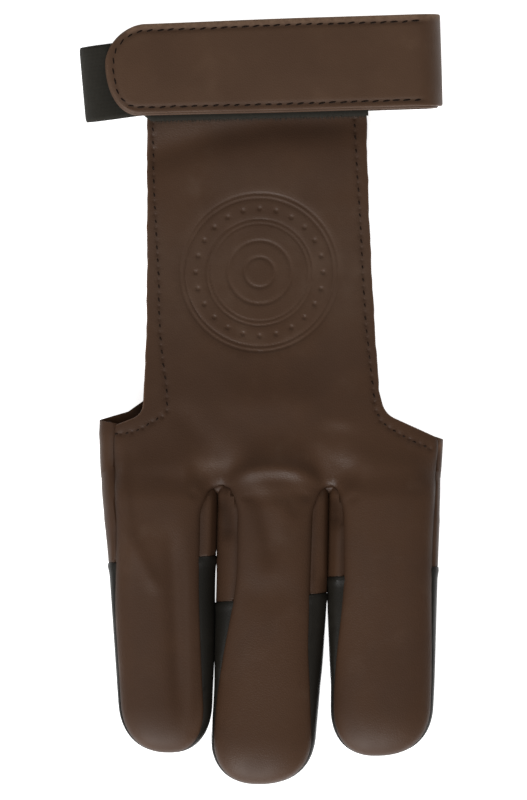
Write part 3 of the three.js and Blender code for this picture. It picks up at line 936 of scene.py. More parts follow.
def turn_in_edges(obj, lines, finger=None, outline=None):
    """Rolls leather in along its seams and joints, and tucks it under the back where it runs on below."""
    points = points_of(obj)
    away = np.full(len(points), np.inf)
    for line in lines:
        for place in np.array(line):
            away = np.minimum(away, np.linalg.norm(points - place, axis=1))
    middle = points.copy()
    in_hand = points[:, 1] > 4
    sink = seam_roll(away, points[:, 1])
    raw = np.zeros(len(points))
    for one in FINGERS:
        centre, half = finger_centre(one, points[:, 1]), finger_half(one, points[:, 1])
        here = (np.abs(points[:, 0] - centre) <= half + FINGER_GAP / 2) & ~in_hand
        middle[here, 0] = centre[here]
        middle[here, 2] = finger_crown(one, points[here, 1]) * WAIST
        above = above_joint(one, points)
        if finger is one:
            swell = JOINT_SWELL * bell(above + JOINT_SWELL_BELOW, JOINT_SWELL_WIDE)
            sink += JOINT_SINK * smooth_step((above + JOINT_STEP_BELOW) / JOINT_STEP) - swell
            # Painted shade: a dark line just below the joint on the black leather
            raw = np.maximum(raw, 1.0 - np.abs(above + JOINT_SHADE_BELOW) / JOINT_SHADE)
        elif finger is None:
            sink[here] += roll(np.maximum(above[here] + JOINT_COVER, 0.0), JOINT_ROLL)
            # Painted shade at the lower edge of the brown palm leather, over the joint
            raw[here] = 1.0 - (above[here] + JOINT_COVER) / PALM_JOINT_SHADE
    across = np.clip(points[in_hand, 0] - HAND_CENTRE, -HAND_CORE, HAND_CORE)
    middle[in_hand, 0] = HAND_CENTRE + across
    middle[in_hand, 2] = KNUCKLE_HEIGHT * WAIST
    inward = middle - points
    inward[:, 1] = 0
    inward /= np.maximum(np.linalg.norm(inward, axis=1), 1e-6)[:, None]
    points += inward * sink[:, None]
    upper = smooth_step((points[:, 2] - 3.0) / 3.0) * (points[:, 1] < 1)
    # Side folds also lay painted shade along their lines
    for fold in SIDE_FOLDS:
        near = near_line(points[:, :2], fold["line"])
        shape = bell(near, fold["wide"]) * upper
        points[:, 2] -= fold["deep"] * shape
        raw = np.maximum(raw, fold["dark"] * shape)
    points = press_together(points)
    points[:, 2] = np.maximum(points[:, 2], 0.0)
    if outline is not None:
        depth = outline.depth_inside(points[:, :2])
        tucked = (points[:, 2] > KNUCKLE_HEIGHT * WAIST) & (depth > 0)
        points[tucked, 2] -= 1.8 * smooth_step(depth[tucked] / 1.3)
        lift = smooth_step((points[:, 1] - 12.0) / 6.0) * smooth_step((-27.0 - points[:, 0]) / 7.0)
        points[:, 2] += HEM_LIFT * lift * np.maximum(0.0, 1.0 - points[:, 2] / (KNUCKLE_HEIGHT * WAIST))
        hem = near_line(points[:, :2], palm_outline(False)[3:8])
        corner = np.linalg.norm(points[:, :2] - RAW_CORNER, axis=1)
        mark(obj, "raw", np.maximum(0.75 - hem / 0.5, 1.3 - corner / 1.2))
    move_points(obj, swell_sides(points))
    # The raw values here are painted shade, stored with the seams' painted shade as groove
    mark(obj, "groove", np.maximum(seam_dark(away, points[:, 1]), raw))


def add_joint_rows(obj, finger):
    """Adds close rows of points on each side of the joint of a finger."""
    left, right = finger["black"]
    number = FINGERS.index(finger)
    start = np.array((between_fingers(number, -left), -left, 0.0))
    run = np.array((between_fingers(number + 1, -right), -right, 0.0)) - start
    run /= np.linalg.norm(run)
    normal = np.array((-run[1], run[0], 0.0))
    with editing(obj) as bm:
        for above in JOINT_ROWS:
            centre = ((start + normal * above) - ORIGIN) * MM
            here = [face for face in bm.faces if between_sides(face, finger)]
            parts = list({part for face in here for part in (*face.verts, *face.edges, face)})
            bmesh.ops.bisect_plane(bm, geom=parts, plane_co=centre, plane_no=normal, dist=1e-7)


def between_sides(face, finger):
    """Whether the middle of a face belongs to a finger."""
    x, y, _ = np.array(face.calc_center_median()) / MM + ORIGIN
    number = FINGERS.index(finger)
    return y < 3 and between_fingers(number, y) < x < between_fingers(number + 1, y)


# ---------------------------------------------------------------- finishes


def node_group(name, inputs, outputs):
    """An empty shader group with named inputs (name, kind, default) and outputs (name, kind)."""
    group = bpy.data.node_groups.new(name, "ShaderNodeTree")
    for title, kind, value in inputs:
        socket = group.interface.new_socket(title, in_out="INPUT", socket_type=kind)
        socket.default_value = value
    for title, kind in outputs:
        group.interface.new_socket(title, in_out="OUTPUT", socket_type=kind)
    source, target = group.nodes.new("NodeGroupInput"), group.nodes.new("NodeGroupOutput")
    return group, source, target


class Wiring:
    """Short ways to add and join shader nodes in one tree."""

    def __init__(self, tree):
        self.tree = tree

    def node(self, kind, **values):
        made = self.tree.nodes.new(kind)
        for name, value in values.items():
            setattr(made, name, value)
        return made

    def link(self, source, target):
        self.tree.links.new(source, target)

    def put(self, node, socket, value):
        """Sets a socket by a value, or joins it to another socket."""
        if isinstance(value, bpy.types.NodeSocket):
            self.link(value, node.inputs[socket])
        else:
            node.inputs[socket].default_value = value

    def math(self, operation, a, b=0.0, c=0.0, clamp=False):
        node = self.node("ShaderNodeMath", operation=operation, use_clamp=clamp)
        for socket, value in enumerate((a, b, c)):
            self.put(node, socket, value)
        return node.outputs[0]

    def mix_colour(self, share, a, b, blend="MIX"):
        node = self.node("ShaderNodeMix", data_type="RGBA", blend_type=blend)
        self.put(node, 0, share)
        self.put(node, 6, a)
        self.put(node, 7, b)
        return node.outputs[2]

    def range(self, value, low, high, to_low=0.0, to_high=1.0):
        node = self.node("ShaderNodeMapRange", interpolation_type="SMOOTHSTEP")
        for socket, number in enumerate((value, low, high, to_low, to_high)):
            self.put(node, socket, number)
        return node.outputs[0]

    def noise(self, coordinates, scale, detail=2.0, roughness=0.5):
        node = self.node("ShaderNodeTexNoise")
        values = dict(Vector=coordinates, Scale=scale, Detail=detail, Roughness=roughness)
        for socket, value in values.items():
            self.put(node, socket, value)
        return node.outputs[0]

    def place(self):
        return self.node("ShaderNodeTexCoord").outputs["Object"]

    def stored(self, name):
        """A value stored at the points of the piece."""
        return self.node("ShaderNodeAttribute", attribute_name=name).outputs["Fac"]

    def bump(self, shader, height, strength, distance):
        node = self.node("ShaderNodeBump")
        for socket, value in (("Strength", strength), ("Distance", distance), ("Height", height)):
            self.put(node, socket, value)
        self.link(node.outputs["Normal"], shader.inputs["Normal"])


def leather_grain_group():
    """Fine pebbled grain and soft creases of leather."""
    group, source, target = node_group(
        "Leather grain",
        [("Grains per metre", "NodeSocketFloat", 1500.0), ("Crease", "NodeSocketFloat", 0.4)],
        [("Height", "NodeSocketFloat")],
    )
    wire = Wiring(group)
    place = wire.place()
    cells = wire.node("ShaderNodeTexVoronoi", feature="DISTANCE_TO_EDGE")
    wire.link(place, cells.inputs["Vector"])
    wire.link(source.outputs["Grains per metre"], cells.inputs["Scale"])
    pebble = wire.range(cells.outputs["Distance"], 0.0, 0.22)
    fine = wire.noise(place, wire.math("MULTIPLY", source.outputs["Grains per metre"], 2.1), 3.0, 0.6)
    soft = wire.noise(place, 210.0, 3.0, 0.55)
    crease = wire.math("MULTIPLY", soft, source.outputs["Crease"])
    height = wire.math("ADD", wire.math("MULTIPLY", pebble, 0.3), wire.math("MULTIPLY", fine, 0.3))
    wire.link(wire.math("ADD", height, crease), target.inputs["Height"])
    return group


def leather_colour_group():
    """Uneven colour of dyed leather: darker clouds, a pale bloom and faint scuffs, and painted sheen where a
    piece stores its pale value.
    """
    group, source, target = node_group(
        "Leather colour",
        [("Base", "NodeSocketColor", (0.05, 0.03, 0.02, 1)),
         ("Shade", "NodeSocketColor", (0.03, 0.02, 0.01, 1)),
         ("Bloom", "NodeSocketColor", (0.1, 0.07, 0.05, 1)), ("Bloom share", "NodeSocketFloat", 0.4)],
        [("Color", "NodeSocketColor"), ("Cloud", "NodeSocketFloat")],
    )
    wire = Wiring(group)
    place = wire.place()
    cloud = wire.range(wire.noise(place, 42.0, 3.0, 0.55), 0.36, 0.66)
    patch = wire.range(wire.noise(place, 95.0, 4.0, 0.6), 0.5, 0.78)
    speck = wire.range(wire.noise(place, 950.0, 2.0, 0.5), 0.64, 0.8)
    base = wire.mix_colour(cloud, source.outputs["Shade"], source.outputs["Base"])
    share = wire.math("MULTIPLY", wire.math("MULTIPLY", patch, cloud), source.outputs["Bloom share"])
    # The stored pale value is painted sheen: it lightens the leather towards the bloom colour
    pale = wire.stored("pale")
    sheen_patchiness = wire.range(wire.noise(place, 160.0, 4.0, 0.6), 0.3, 0.7, 0.7, 1.15)
    share = wire.math("ADD", share, wire.math("MULTIPLY", pale, sheen_patchiness), clamp=True)
    bloomed = wire.mix_colour(share, base, source.outputs["Bloom"])
    specks = wire.math("MULTIPLY", speck, wire.math("MULTIPLY", source.outputs["Bloom share"], 0.35))
    wire.link(wire.mix_colour(specks, bloomed, source.outputs["Bloom"]), target.inputs["Color"])
    wire.link(cloud, target.inputs["Cloud"])
    return group


def raw_edge_and_shade_group():
    """Raw cut edges, and painted shade in seams, grooves and joints, by the values stored at the points of
    each piece.
    """
    group, source, target = node_group(
        "Raw edges and painted shade",
        [("Color", "NodeSocketColor", (0.05, 0.03, 0.02, 1)),
         ("Raw color", "NodeSocketColor", (0.15, 0.07, 0.04, 1)),
         ("Groove color", "NodeSocketColor", (0.02, 0.012, 0.008, 1)),
         ("Raw share", "NodeSocketFloat", 1.0), ("Groove share", "NodeSocketFloat", 0.7)],
        [("Color", "NodeSocketColor"), ("Raw", "NodeSocketFloat")],
    )
    wire = Wiring(group)
    place = wire.place()
    raw = wire.stored("raw")
    groove = wire.stored("groove")
    ragged = wire.range(wire.noise(place, 700.0, 3.0, 0.6), 0.3, 0.7, 0.55, 1.1)
    ragged_raw = wire.math("MULTIPLY", raw, ragged)
    raw_share = wire.math("MULTIPLY", ragged_raw, source.outputs["Raw share"], clamp=True)
    groove_share = wire.math("MULTIPLY", groove, source.outputs["Groove share"], clamp=True)
    # Painted shade: the groove value darkens the colour towards the groove colour
    dark = wire.mix_colour(groove_share, source.outputs["Color"], source.outputs["Groove color"])
    wire.link(wire.mix_colour(raw_share, dark, source.outputs["Raw color"]), target.inputs["Color"])
    wire.link(raw_share, target.inputs["Raw"])
    return group


def once(name, make):
    return bpy.data.node_groups.get(name) or make()


def new_material(name):
    material = bpy.data.materials.new(name)
    material.use_nodes = True
    wire = Wiring(material.node_tree)
    shader = material.node_tree.nodes["Principled BSDF"]
    return material, wire, shader


def add_group(wire, group, **values):
    node = wire.node("ShaderNodeGroup", node_tree=group)
    for title, value in values.items():
        wire.put(node, title.replace("_", " "), value)
    return node


def leather_material(name, base, shade, bloom, raw, groove, finish):
    """A leather. finish gives its roughness, bloom, strength and height of the grain, and raw share."""
    found = bpy.data.materials.get(name)
    if found:
        return found
    material, wire, shader = new_material(name)
    grain = add_group(wire, once("Leather grain", leather_grain_group),
                      Grains_per_metre=finish["grains"], Crease=finish["crease"])
    colour = add_group(wire, once("Leather colour", leather_colour_group),
                       Base=base, Shade=shade, Bloom=bloom, Bloom_share=finish["bloom"])
    edge = add_group(wire, once("Raw edges and painted shade", raw_edge_and_shade_group), Color=colour.outputs["Color"], Raw_color=raw,
                     Groove_color=groove, Raw_share=finish["raw"], Groove_share=finish["groove"])
    low, high = finish["rough"]
    rough = wire.range(colour.outputs["Cloud"], 0.0, 1.0, high, low)
    rough = wire.math("ADD", rough, wire.math("MULTIPLY", edge.outputs["Raw"], 0.25), clamp=True)
    wire.bump(shader, grain.outputs["Height"], finish["bump"], finish["height"])
    wire.link(edge.outputs["Color"], shader.inputs["Base Color"])
    wire.link(rough, shader.inputs["Roughness"])
    shader.inputs["Specular IOR Level"].default_value = finish["gloss"]
    return material


# groove: how far the painted shade in seams and grooves darkens the leather
SATIN = dict(rough=(0.44, 0.56), bloom=0.42, height=0.00012, bump=0.5, grains=1500.0, crease=0.5,
             raw=0.75, groove=0.5, gloss=0.19)


def colours():
    return bpy.context.scene.glove_colours


def sizes():
    return bpy.context.scene.glove_sizes


def brown_leather():
    dyes = colours()
    return leather_material("Brown leather", dyes.brown, dyes.brown_shade, dyes.brown_bloom_and_sheen, dyes.raw_edge,
                            dyes.groove, SATIN)


def strap_leather():
    dyes = colours()
    finish = dict(SATIN, rough=(0.5, 0.62), bloom=0.15, raw=1.0)
    return leather_material("Strap leather", dyes.strap, dyes.strap_shade, dyes.strap_raw, dyes.strap_raw,
                            dyes.groove, finish)


def black_leather():
    dyes = colours()
    finish = dict(SATIN, rough=(0.4, 0.52), bloom=0.35, raw=0.2, height=0.00008)
    # Its shade colour is also the colour of the painted shade in its seams and at its joint
    return leather_material("Black leather", dyes.black, dyes.black_shade, dyes.black_bloom, dyes.black_bloom,
                            dyes.black_shade, finish)


def inner_leather():
    dyes = colours()
    finish = dict(SATIN, rough=(0.82, 0.95), bloom=0.3, raw=0.5, height=0.00025, grains=2300.0, gloss=0.15)
    return leather_material("Inner leather", dyes.inner, dyes.brown_shade, dyes.brown_bloom_and_sheen, dyes.raw_edge,
                            dyes.groove, finish)


def woven_band():
    """Elastic tape: fine threads along it and across it."""
    found = bpy.data.materials.get("Woven band")
    if found:
        return found
    dyes = colours()
    material, wire, shader = new_material("Woven band")
    place = wire.place()
    turned = wire.node("ShaderNodeMapping")
    turned.inputs["Rotation"].default_value = (0.0, 0.0, math.radians(-BAND_TILT))
    wire.link(place, turned.inputs["Vector"])
    heights = []
    for direction, scale in (("X", 900.0), ("Y", 1050.0)):
        wave = wire.node("ShaderNodeTexWave", bands_direction=direction)
        for socket, value in (("Scale", scale), ("Distortion", 0.8), ("Detail", 1.0), ("Detail Scale", 3.0)):
            wave.inputs[socket].default_value = value
        wire.link(turned.outputs["Vector"], wave.inputs["Vector"])
        heights.append(wave.outputs["Fac"])
    weave = wire.math("MULTIPLY", heights[0], heights[1])
    lint = wire.noise(place, 1800.0, 3.0, 0.6)
    height = wire.math("ADD", weave, wire.math("MULTIPLY", lint, 0.6))
    tone = wire.range(wire.math("ADD", weave, wire.math("MULTIPLY", lint, 0.5)), 0.1, 1.2)
    wire.link(wire.mix_colour(tone, dyes.band_shade, dyes.band), shader.inputs["Base Color"])
    wire.bump(shader, height, 0.5, 0.00012)
    wire.link(wire.range(lint, 0.3, 0.7, 0.8, 0.95), shader.inputs["Roughness"])
    shader.inputs["Specular IOR Level"].default_value = 0.2
    return material


def twisted_thread(name, dyed):
    """Waxed sewing thread, with the slant of its twist."""
    found = bpy.data.materials.get(name)
    if found:
        return found
    material, wire, shader = new_material(name)
    place = wire.place()
    wave = wire.node("ShaderNodeTexWave", bands_direction="DIAGONAL")
    wave.inputs["Scale"].default_value = 900.0
    wave.inputs["Distortion"].default_value = 1.0
    wire.link(place, wave.inputs["Vector"])
    tone = wire.mix_colour(wave.outputs["Fac"], colours().thread_shade, dyed)
    wire.link(tone, shader.inputs["Base Color"])
    wire.bump(shader, wave.outputs["Fac"], 0.6, 0.0001)
    wire.link(wire.range(wave.outputs["Fac"], 0.0, 1.0, 0.7, 0.85), shader.inputs["Roughness"])
    shader.inputs["Specular IOR Level"].default_value = 0.1
    return material


# ---------------------------------------------------------------- the back of the glove


def target_relief(points):
    """Depth of the pressed rings and pips at each point."""
    offset = points - np.array(TARGET_CENTRE)
    away = np.linalg.norm(offset, axis=1)
    depth = TARGET_SINK * smooth_step((TARGET_LINES[0][0] - away) / 1.2)
    for radius, half_width, deep in TARGET_LINES:
        depth += deep * bell(away - radius, half_width)
    for number in range(TARGET_PIPS):
        turn = 2 * math.pi * number / TARGET_PIPS
        pip = TARGET_PIP_RADIUS * np.array((math.cos(turn), math.sin(turn)))
        near = np.linalg.norm(offset - pip, axis=1)
        depth += TARGET_PIP_DEEP * np.exp(-((near / TARGET_PIP_SIZE) ** 4))
    return depth


def target_points():
    """Points in rings, close together where the pressed lines are."""
    radii = set(np.round(np.arange(0.9, 23.4, 0.9), 2))
    for radius, half_width, _ in TARGET_LINES:
        radii |= {round(radius + half_width * share, 3) for share in (-1.8, -1.1, -0.55, 0.0, 0.55, 1.1, 1.8)}
    kept, last = [], -1.0
    for radius in sorted(radii):
        if radius - last >= 0.14:
            kept.append(radius)
            last = radius
    points = [TARGET_CENTRE]
    for number, radius in enumerate(kept):
        count = max(10, round(2 * math.pi * radius / 0.8))
        turns = 2 * np.pi * (np.arange(count) + 0.5 * (number % 2)) / count
        points += [(TARGET_CENTRE[0] + radius * math.cos(turn), TARGET_CENTRE[1] + radius * math.sin(turn))
                   for turn in turns]
    for number in range(TARGET_PIPS):
        turn = 2 * math.pi * number / TARGET_PIPS
        centre = np.array(TARGET_CENTRE) + TARGET_PIP_RADIUS * np.array((math.cos(turn), math.sin(turn)))
        for radius in (0.35, 0.62, 0.95):
            around = 2 * np.pi * np.arange(10) / 10
            points += [tuple(centre + radius * np.array((math.cos(a), math.sin(a)))) for a in around]
    return points


def stitch_holes():
    return np.concatenate([spaced(row["line"], row["pitch"]) for row in STITCH_ROWS])


# Points of the back: the rings inside its edge from this number on have half the points, and a ring
# keeps this share of its depth. Room kept free round the pressed target and a stitch hole.
SPARSE_RING = 3
RING_KEEP = 0.93
ROW_STEP = 0.866
TARGET_ROOM = 23.6
HOLE_ROOM = 0.95
HOLE_RINGS = (0.3, 0.65)
# Rolled cut edge of the back, and how far its raw leather shows on its outer and inner face
CUT_ROLL = 0.45
CUT_RAW = 0.5
CUT_RAW_INSIDE = (0.4, 3.0)
# Share of painted shade in the stitch grooves
GROOVE_DARK = 0.45


def back_points(outline):
    """Points in plan: the outline first, then rings just inside it, then an even field."""
    loop = outline.loop
    ahead, behind = np.roll(loop, -1, axis=0), np.roll(loop, 1, axis=0)
    run = (ahead - behind) / np.linalg.norm(ahead - behind, axis=1)[:, None]
    normal = np.column_stack([-run[:, 1], run[:, 0]])
    rings = []
    for number, depth in enumerate(EDGE_RINGS):
        ring = loop + normal * depth
        if number >= SPARSE_RING:
            ring = ring[::2]
        away = outline.depth_inside(ring)
        rings.append(ring[away > depth * RING_KEEP])
    low, high = loop.min(axis=0), loop.max(axis=0)
    rows = np.arange(low[1], high[1], BACK_PITCH * ROW_STEP)
    field = [(x, y) for number, y in enumerate(rows)
             for x in np.arange(low[0] + BACK_PITCH / 2 * (number % 2), high[0], BACK_PITCH)]
    field = np.array(field)
    field = field[outline.depth_inside(field) > EDGE_RINGS[-1] + 0.5 * BACK_PITCH]
    target = np.array(target_points())
    middle = np.linalg.norm(field - np.array(TARGET_CENTRE), axis=1)
    field = field[middle > TARGET_ROOM]
    holes = stitch_holes()
    close = np.min(np.linalg.norm(field[:, None] - holes[None], axis=2), axis=1)
    field = field[close > HOLE_ROOM]
    around = np.linspace(0, 2 * np.pi, 9)[:-1]
    spots = [holes]
    for radius in HOLE_RINGS:
        spots += [holes + radius * np.array((math.cos(turn), math.sin(turn))) for turn in around]
    return np.concatenate([loop, *rings, field, target, *spots])


def back_height(points, outline, edges=True):
    """Height of the finished back: its form, folds, stitch grooves, pressed rings and rolled edges."""
    from_seams = outline.from_seams(points)
    height = back_top(points[:, 0], points[:, 1])
    height -= fold_depth(points) * smooth_step(from_seams / FOLD_FADE)
    groove = np.zeros(len(points))
    for row in STITCH_ROWS:
        groove = np.maximum(groove, bell(near_line(points, row["line"]), STITCH_GROOVE_WIDE))
    height -= STITCH_GROOVE * groove
    if edges:
        holes = stitch_holes()
        near = np.min(np.linalg.norm(points[:, None] - holes[None], axis=2), axis=1)
        height -= STITCH_HOLE * bell(near, STITCH_HOLE_WIDE)
        height -= target_relief(points)
        height -= seam_roll(from_seams, points[:, 1]) + roll(outline.from_cuts(points), CUT_ROLL)
    return height, groove


def back_leather_mesh(outline):
    plan = back_points(outline)
    count = len(outline.loop)
    edges = [(i, (i + 1) % count) for i in range(count)]
    made = geometry.delaunay_2d_cdt([Vector(point) for point in plan], edges, [], 1, 1e-5)
    plan = np.array([tuple(point) for point in made[0]])
    faces = np.array([face for face in made[2] if len(face) == 3])
    corners = plan[faces]
    area = np.cross(corners[:, 1] - corners[:, 0], corners[:, 2] - corners[:, 0])
    faces[area < 0] = faces[area < 0][:, ::-1]
    plain, _ = back_height(plan, outline, edges=False)
    final, groove = back_height(plan, outline)
    outer = swell_sides(np.column_stack([plan, final]))
    form = swell_sides(np.column_stack([plan, plain]))
    inner = form - normals_of(form, faces) * (sizes().leather / MM)
    total = len(plan)
    sides = {}
    for face in faces:
        for a, b in zip(face, np.roll(face, -1)):
            sides[(a, b)] = sides.get((a, b), 0) + 1
    border = [(a, b) for a, b in sides if (b, a) not in sides]
    rim = [(b, a, a + total, b + total) for a, b in border]
    everything = [*faces, *(faces[:, ::-1] + total), *rim]
    obj = new_object("back_leather", np.concatenate([outer, inner]), everything)
    cuts = outline.from_cuts(plan)
    inside, fade = CUT_RAW_INSIDE
    raw = np.concatenate([1.0 - cuts / CUT_RAW, inside - cuts / fade])
    seam = seam_dark(outline.from_seams(plan), plan[:, 1])
    mark(obj, "raw", raw)
    # groove: painted shade beside the seams and in the stitch grooves
    mark(obj, "groove", np.concatenate([np.maximum(seam, groove * GROOVE_DARK), np.zeros(total)]))
    # Painted sheen on the outer face, stored as pale
    pale = [strong * np.exp(-np.sum(((plan - place) / reach) ** 2, axis=1))
            for place, reach, strong in SHEEN_PLACES]
    mark(obj, "pale", np.concatenate([np.max(pale, axis=0), np.zeros(total)]))
    inner_faces = np.zeros(len(everything), np.int32)
    inner_faces[len(faces):2 * len(faces)] = 1
    obj.data.polygons.foreach_set("material_index", inner_faces)
    return obj


# ---------------------------------------------------------------- strap, band and stitches


def turned_about(points, degrees, centre_y):
    """Points of the strap or band, turned on the hand."""
    turn = math.radians(degrees)
    x, y, z = np.asarray(points).T
    return np.column_stack([x * math.cos(turn) - y * math.sin(turn),
                            x * math.sin(turn) + y * math.cos(turn) + centre_y, z])


def half_turn(fold_x, side, low, high):
    radius = (high - low) / 2
    turns = np.linspace(-0.5, 0.5, 25) * math.pi
    return [(fold_x + side * radius * (math.cos(turn) - 1), low + radius * (1 + math.sin(turn)))
            for turn in turns]


# How the strap lies: two waves along it, the fall to its sides, and where this begins beside its fold
STRAP_WAVE = 0.22
STRAP_RIPPLE = 0.12
STRAP_CROWN = 0.35
STRAP_CALM = 4
STRAP_LIE_REACH = 14.0


def strap_lie(x, y):
    """How the top of the strap rises and falls as it lies."""
    wave = STRAP_WAVE * np.sin(x / 17.0 + 0.6) + STRAP_RIPPLE * np.sin(x / 7.3 + y / 9.0)
    crown = -STRAP_CROWN * (y / (STRAP_WIDTH / 2)) ** 2
    return (wave + crown) * smooth_step((FOLD_RIGHT - STRAP_CALM - x) / STRAP_LIE_REACH)


def strap_rows(depth):
    """Path of a layer of the strap at a depth below its outside, from its root round the fold."""
    start = FOLD_RIGHT - STRAP_ROOT
    path = [(start, depth), *half_turn(FOLD_RIGHT - depth, 1, depth, STRAP_TOP - depth)]
    return path, STRAP_TOP - depth


STRAP_COLUMNS = 57
STRAP_STEPS = 95
# Rolled edge of the strap, its wider soft fall, and the groove of its stitches: reach and depth
STRAP_ROLL = 0.42
STRAP_FALL = (2.2, 0.04)
STRAP_GROOVE = (0.6, 0.24)


def strap_sheet(name, depth, thick, half_width, shift, extra):
    """One layer of the strap: columns across it, rows along it, and the rounded tongue."""
    path, top = strap_rows(depth)
    run = spaced(path, 1.0)
    columns = np.sin(np.linspace(-0.5, 0.5, STRAP_COLUMNS) * math.pi)
    straight = np.linspace(0.0, 1.0, STRAP_STEPS + 1)[1:]
    outer = []
    for across in columns:
        y = across * half_width + shift
        reach, turned, square = tongue_turn(across * half_width, half_width)
        end = TONGUE_END - extra + float(reach * (1 - arch(turned, square)))
        x_top = mix(run[-1][0], end, straight)
        xs = np.concatenate([run[:, 0], x_top])
        zs = np.concatenate([run[:, 1], np.full(len(straight), top)])
        outer.append(np.column_stack([xs, np.full(len(xs), y), zs]))
    outer = np.array(outer)
    along = np.gradient(outer, axis=1)
    tangent = along / np.maximum(np.linalg.norm(along, axis=2), 1e-9)[:, :, None]
    normal = np.stack([-tangent[:, :, 2], np.zeros_like(tangent[:, :, 0]), tangent[:, :, 0]], axis=2) * -1
    flat = outer.reshape(-1, 3)
    on_top = smooth_step((flat[:, 2] - STRAP_TOP * 0.6) / (STRAP_TOP * 0.35))
    lift = strap_lie(flat[:, 0], flat[:, 1]) * on_top
    edge = strap_edge_distance(flat, half_width, shift, extra)
    row = bell(near_line(flat[:, :2], strap_stitch_line()), STRAP_GROOVE[0])
    stitched = row * on_top * (depth == 0)
    fall = STRAP_FALL[1] * roll(edge, STRAP_FALL[0])
    sunk = roll(edge, STRAP_ROLL) + STRAP_GROOVE[1] * stitched + fall
    skin = flat - normal.reshape(-1, 3) * sunk[:, None]
    skin[:, 2] += lift
    inner = flat - normal.reshape(-1, 3) * thick
    inner[:, 2] += lift
    upper = smooth_step((flat[:, 1] - shift) / 4.0) * (flat[:, 0] > TONGUE_END + 6.0)
    raw = mix(0.15 - edge / 0.6, 1.15 - edge / 1.9, upper)
    skin[:, 1], inner[:, 1] = narrowed(skin), narrowed(inner)
    return sheet_object(name, skin, inner, len(columns), outer.shape[1], (raw, 0.12 - edge), stitched)


def tongue_turn(y, half):
    """Reach of the tongue's round end on the side of y, y as a share of its half width, and squareness."""
    above = y > TONGUE_TOP
    reach = np.where(above, TONGUE_REACH[1], TONGUE_REACH[-1])
    turned = np.clip((y - TONGUE_TOP) / np.where(above, half - TONGUE_TOP, half + TONGUE_TOP), -1.0, 1.0)
    return reach, turned, np.where(above, TONGUE_SQUARE[1], TONGUE_SQUARE[-1])


def narrowed(points):
    """Place across the strap, which narrows a little towards its tongue."""
    return points[:, 1] * (1.0 - STRAP_NARROW * smooth_step((15.0 - points[:, 0]) / 55.0))


def strap_edge_distance(points, half_width, shift, extra):
    """Distance in from the edge of the strap, measured round its tongue on the top."""
    x, y, z = points.T
    from_side = half_width - np.abs(y - shift)
    reach, across, square = tongue_turn(y - shift, half_width)
    along = (TONGUE_END - extra + reach - x) / reach
    in_tongue = (along > 0) & (z > STRAP_TOP / 2)
    share = (np.abs(across) ** square + np.maximum(along, 0.0) ** square) ** (1.0 / square)
    from_round = (1 - share) * reach
    from_root = np.where(z < STRAP_TOP / 2, x - (FOLD_RIGHT - STRAP_ROOT), np.inf)
    return np.maximum(0.0, np.minimum(np.where(in_tongue, from_round, from_side), from_root))


def sheet_object(name, skin, inner, columns, rows, raw, groove):
    """A closed sheet from two grids of points, column by column, with its border joined."""
    total = columns * rows
    faces = []
    for column in range(columns - 1):
        for row in range(rows - 1):
            a = column * rows + row
            b = a + rows
            faces.append((a, a + 1, b + 1, b))
    back = [tuple(reversed([corner + total for corner in face])) for face in faces]
    loop = list(range(rows))
    loop += [column * rows + rows - 1 for column in range(1, columns)]
    loop += [(columns - 1) * rows + row for row in range(rows - 2, -1, -1)]
    loop += [column * rows for column in range(columns - 2, 0, -1)]
    rim = [(b, a, a + total, b + total) for a, b in zip(loop, loop[1:] + loop[:1])]
    obj = new_object(name, np.concatenate([skin, inner]), [*faces, *back, *rim])
    mark(obj, "raw", np.concatenate(raw))
    # groove: painted shade along the stitch grooves
    mark(obj, "groove", np.concatenate([groove * 0.5, np.zeros(total)]))
    with editing(obj) as bm:
        bmesh.ops.remove_doubles(bm, verts=bm.verts, dist=2e-6)
        bmesh.ops.recalc_face_normals(bm, faces=bm.faces)
    return obj


def turn_object(obj, degrees, centre_y):
    points = points_of(obj)
    move_points(obj, turned_about(points, degrees, centre_y))


def band_path(depth):
    over = 2 * (STRAP_LAYER + LAYER_GAP)
    root = FOLD_RIGHT - STRAP_ROOT
    fold_left = -LOOP_WIDTH / 2 - BAND_BULGE
    return [(root + BAND_JOIN, over + depth), (root - LAYER_GAP - BAND_THICK, over + depth),
            (root - BAND_CLIMB, depth), *half_turn(fold_left + depth, -1, depth, BAND_TOP - depth),
            (float(strip_edge(1, WRIST_REACH)), BAND_TOP - depth)]


def band_slip(x, upper=1.0):
    """How far the band slips towards the fingers. upper: 1 for its run over the back, 0 for the one below."""
    climb = mix(*BAND_CLIMBS, np.clip((x - BAND_FOLD) / BAND_CLIMB_REACH, 0.0, 1.0))
    over = mix(climb, BAND_SLIP + BAND_SLIP_LEAN * x, smooth_step((x - BAND_STEP_AT) / BAND_STEP))
    below = climb * (1.0 - smooth_step((x - BAND_FADE_AT) / BAND_FADE))
    return mix(below, over, upper)


BAND_COLUMNS = 93
BAND_STEP_LONG = 1.2
BAND_RIB_PITCH = 1.05
BAND_EDGE_ROLL = 0.35
# Where the lean begins, left of the hand, and its reach
BAND_LEAN_AT = -34.0
BAND_LEAN_REACH = 10.0


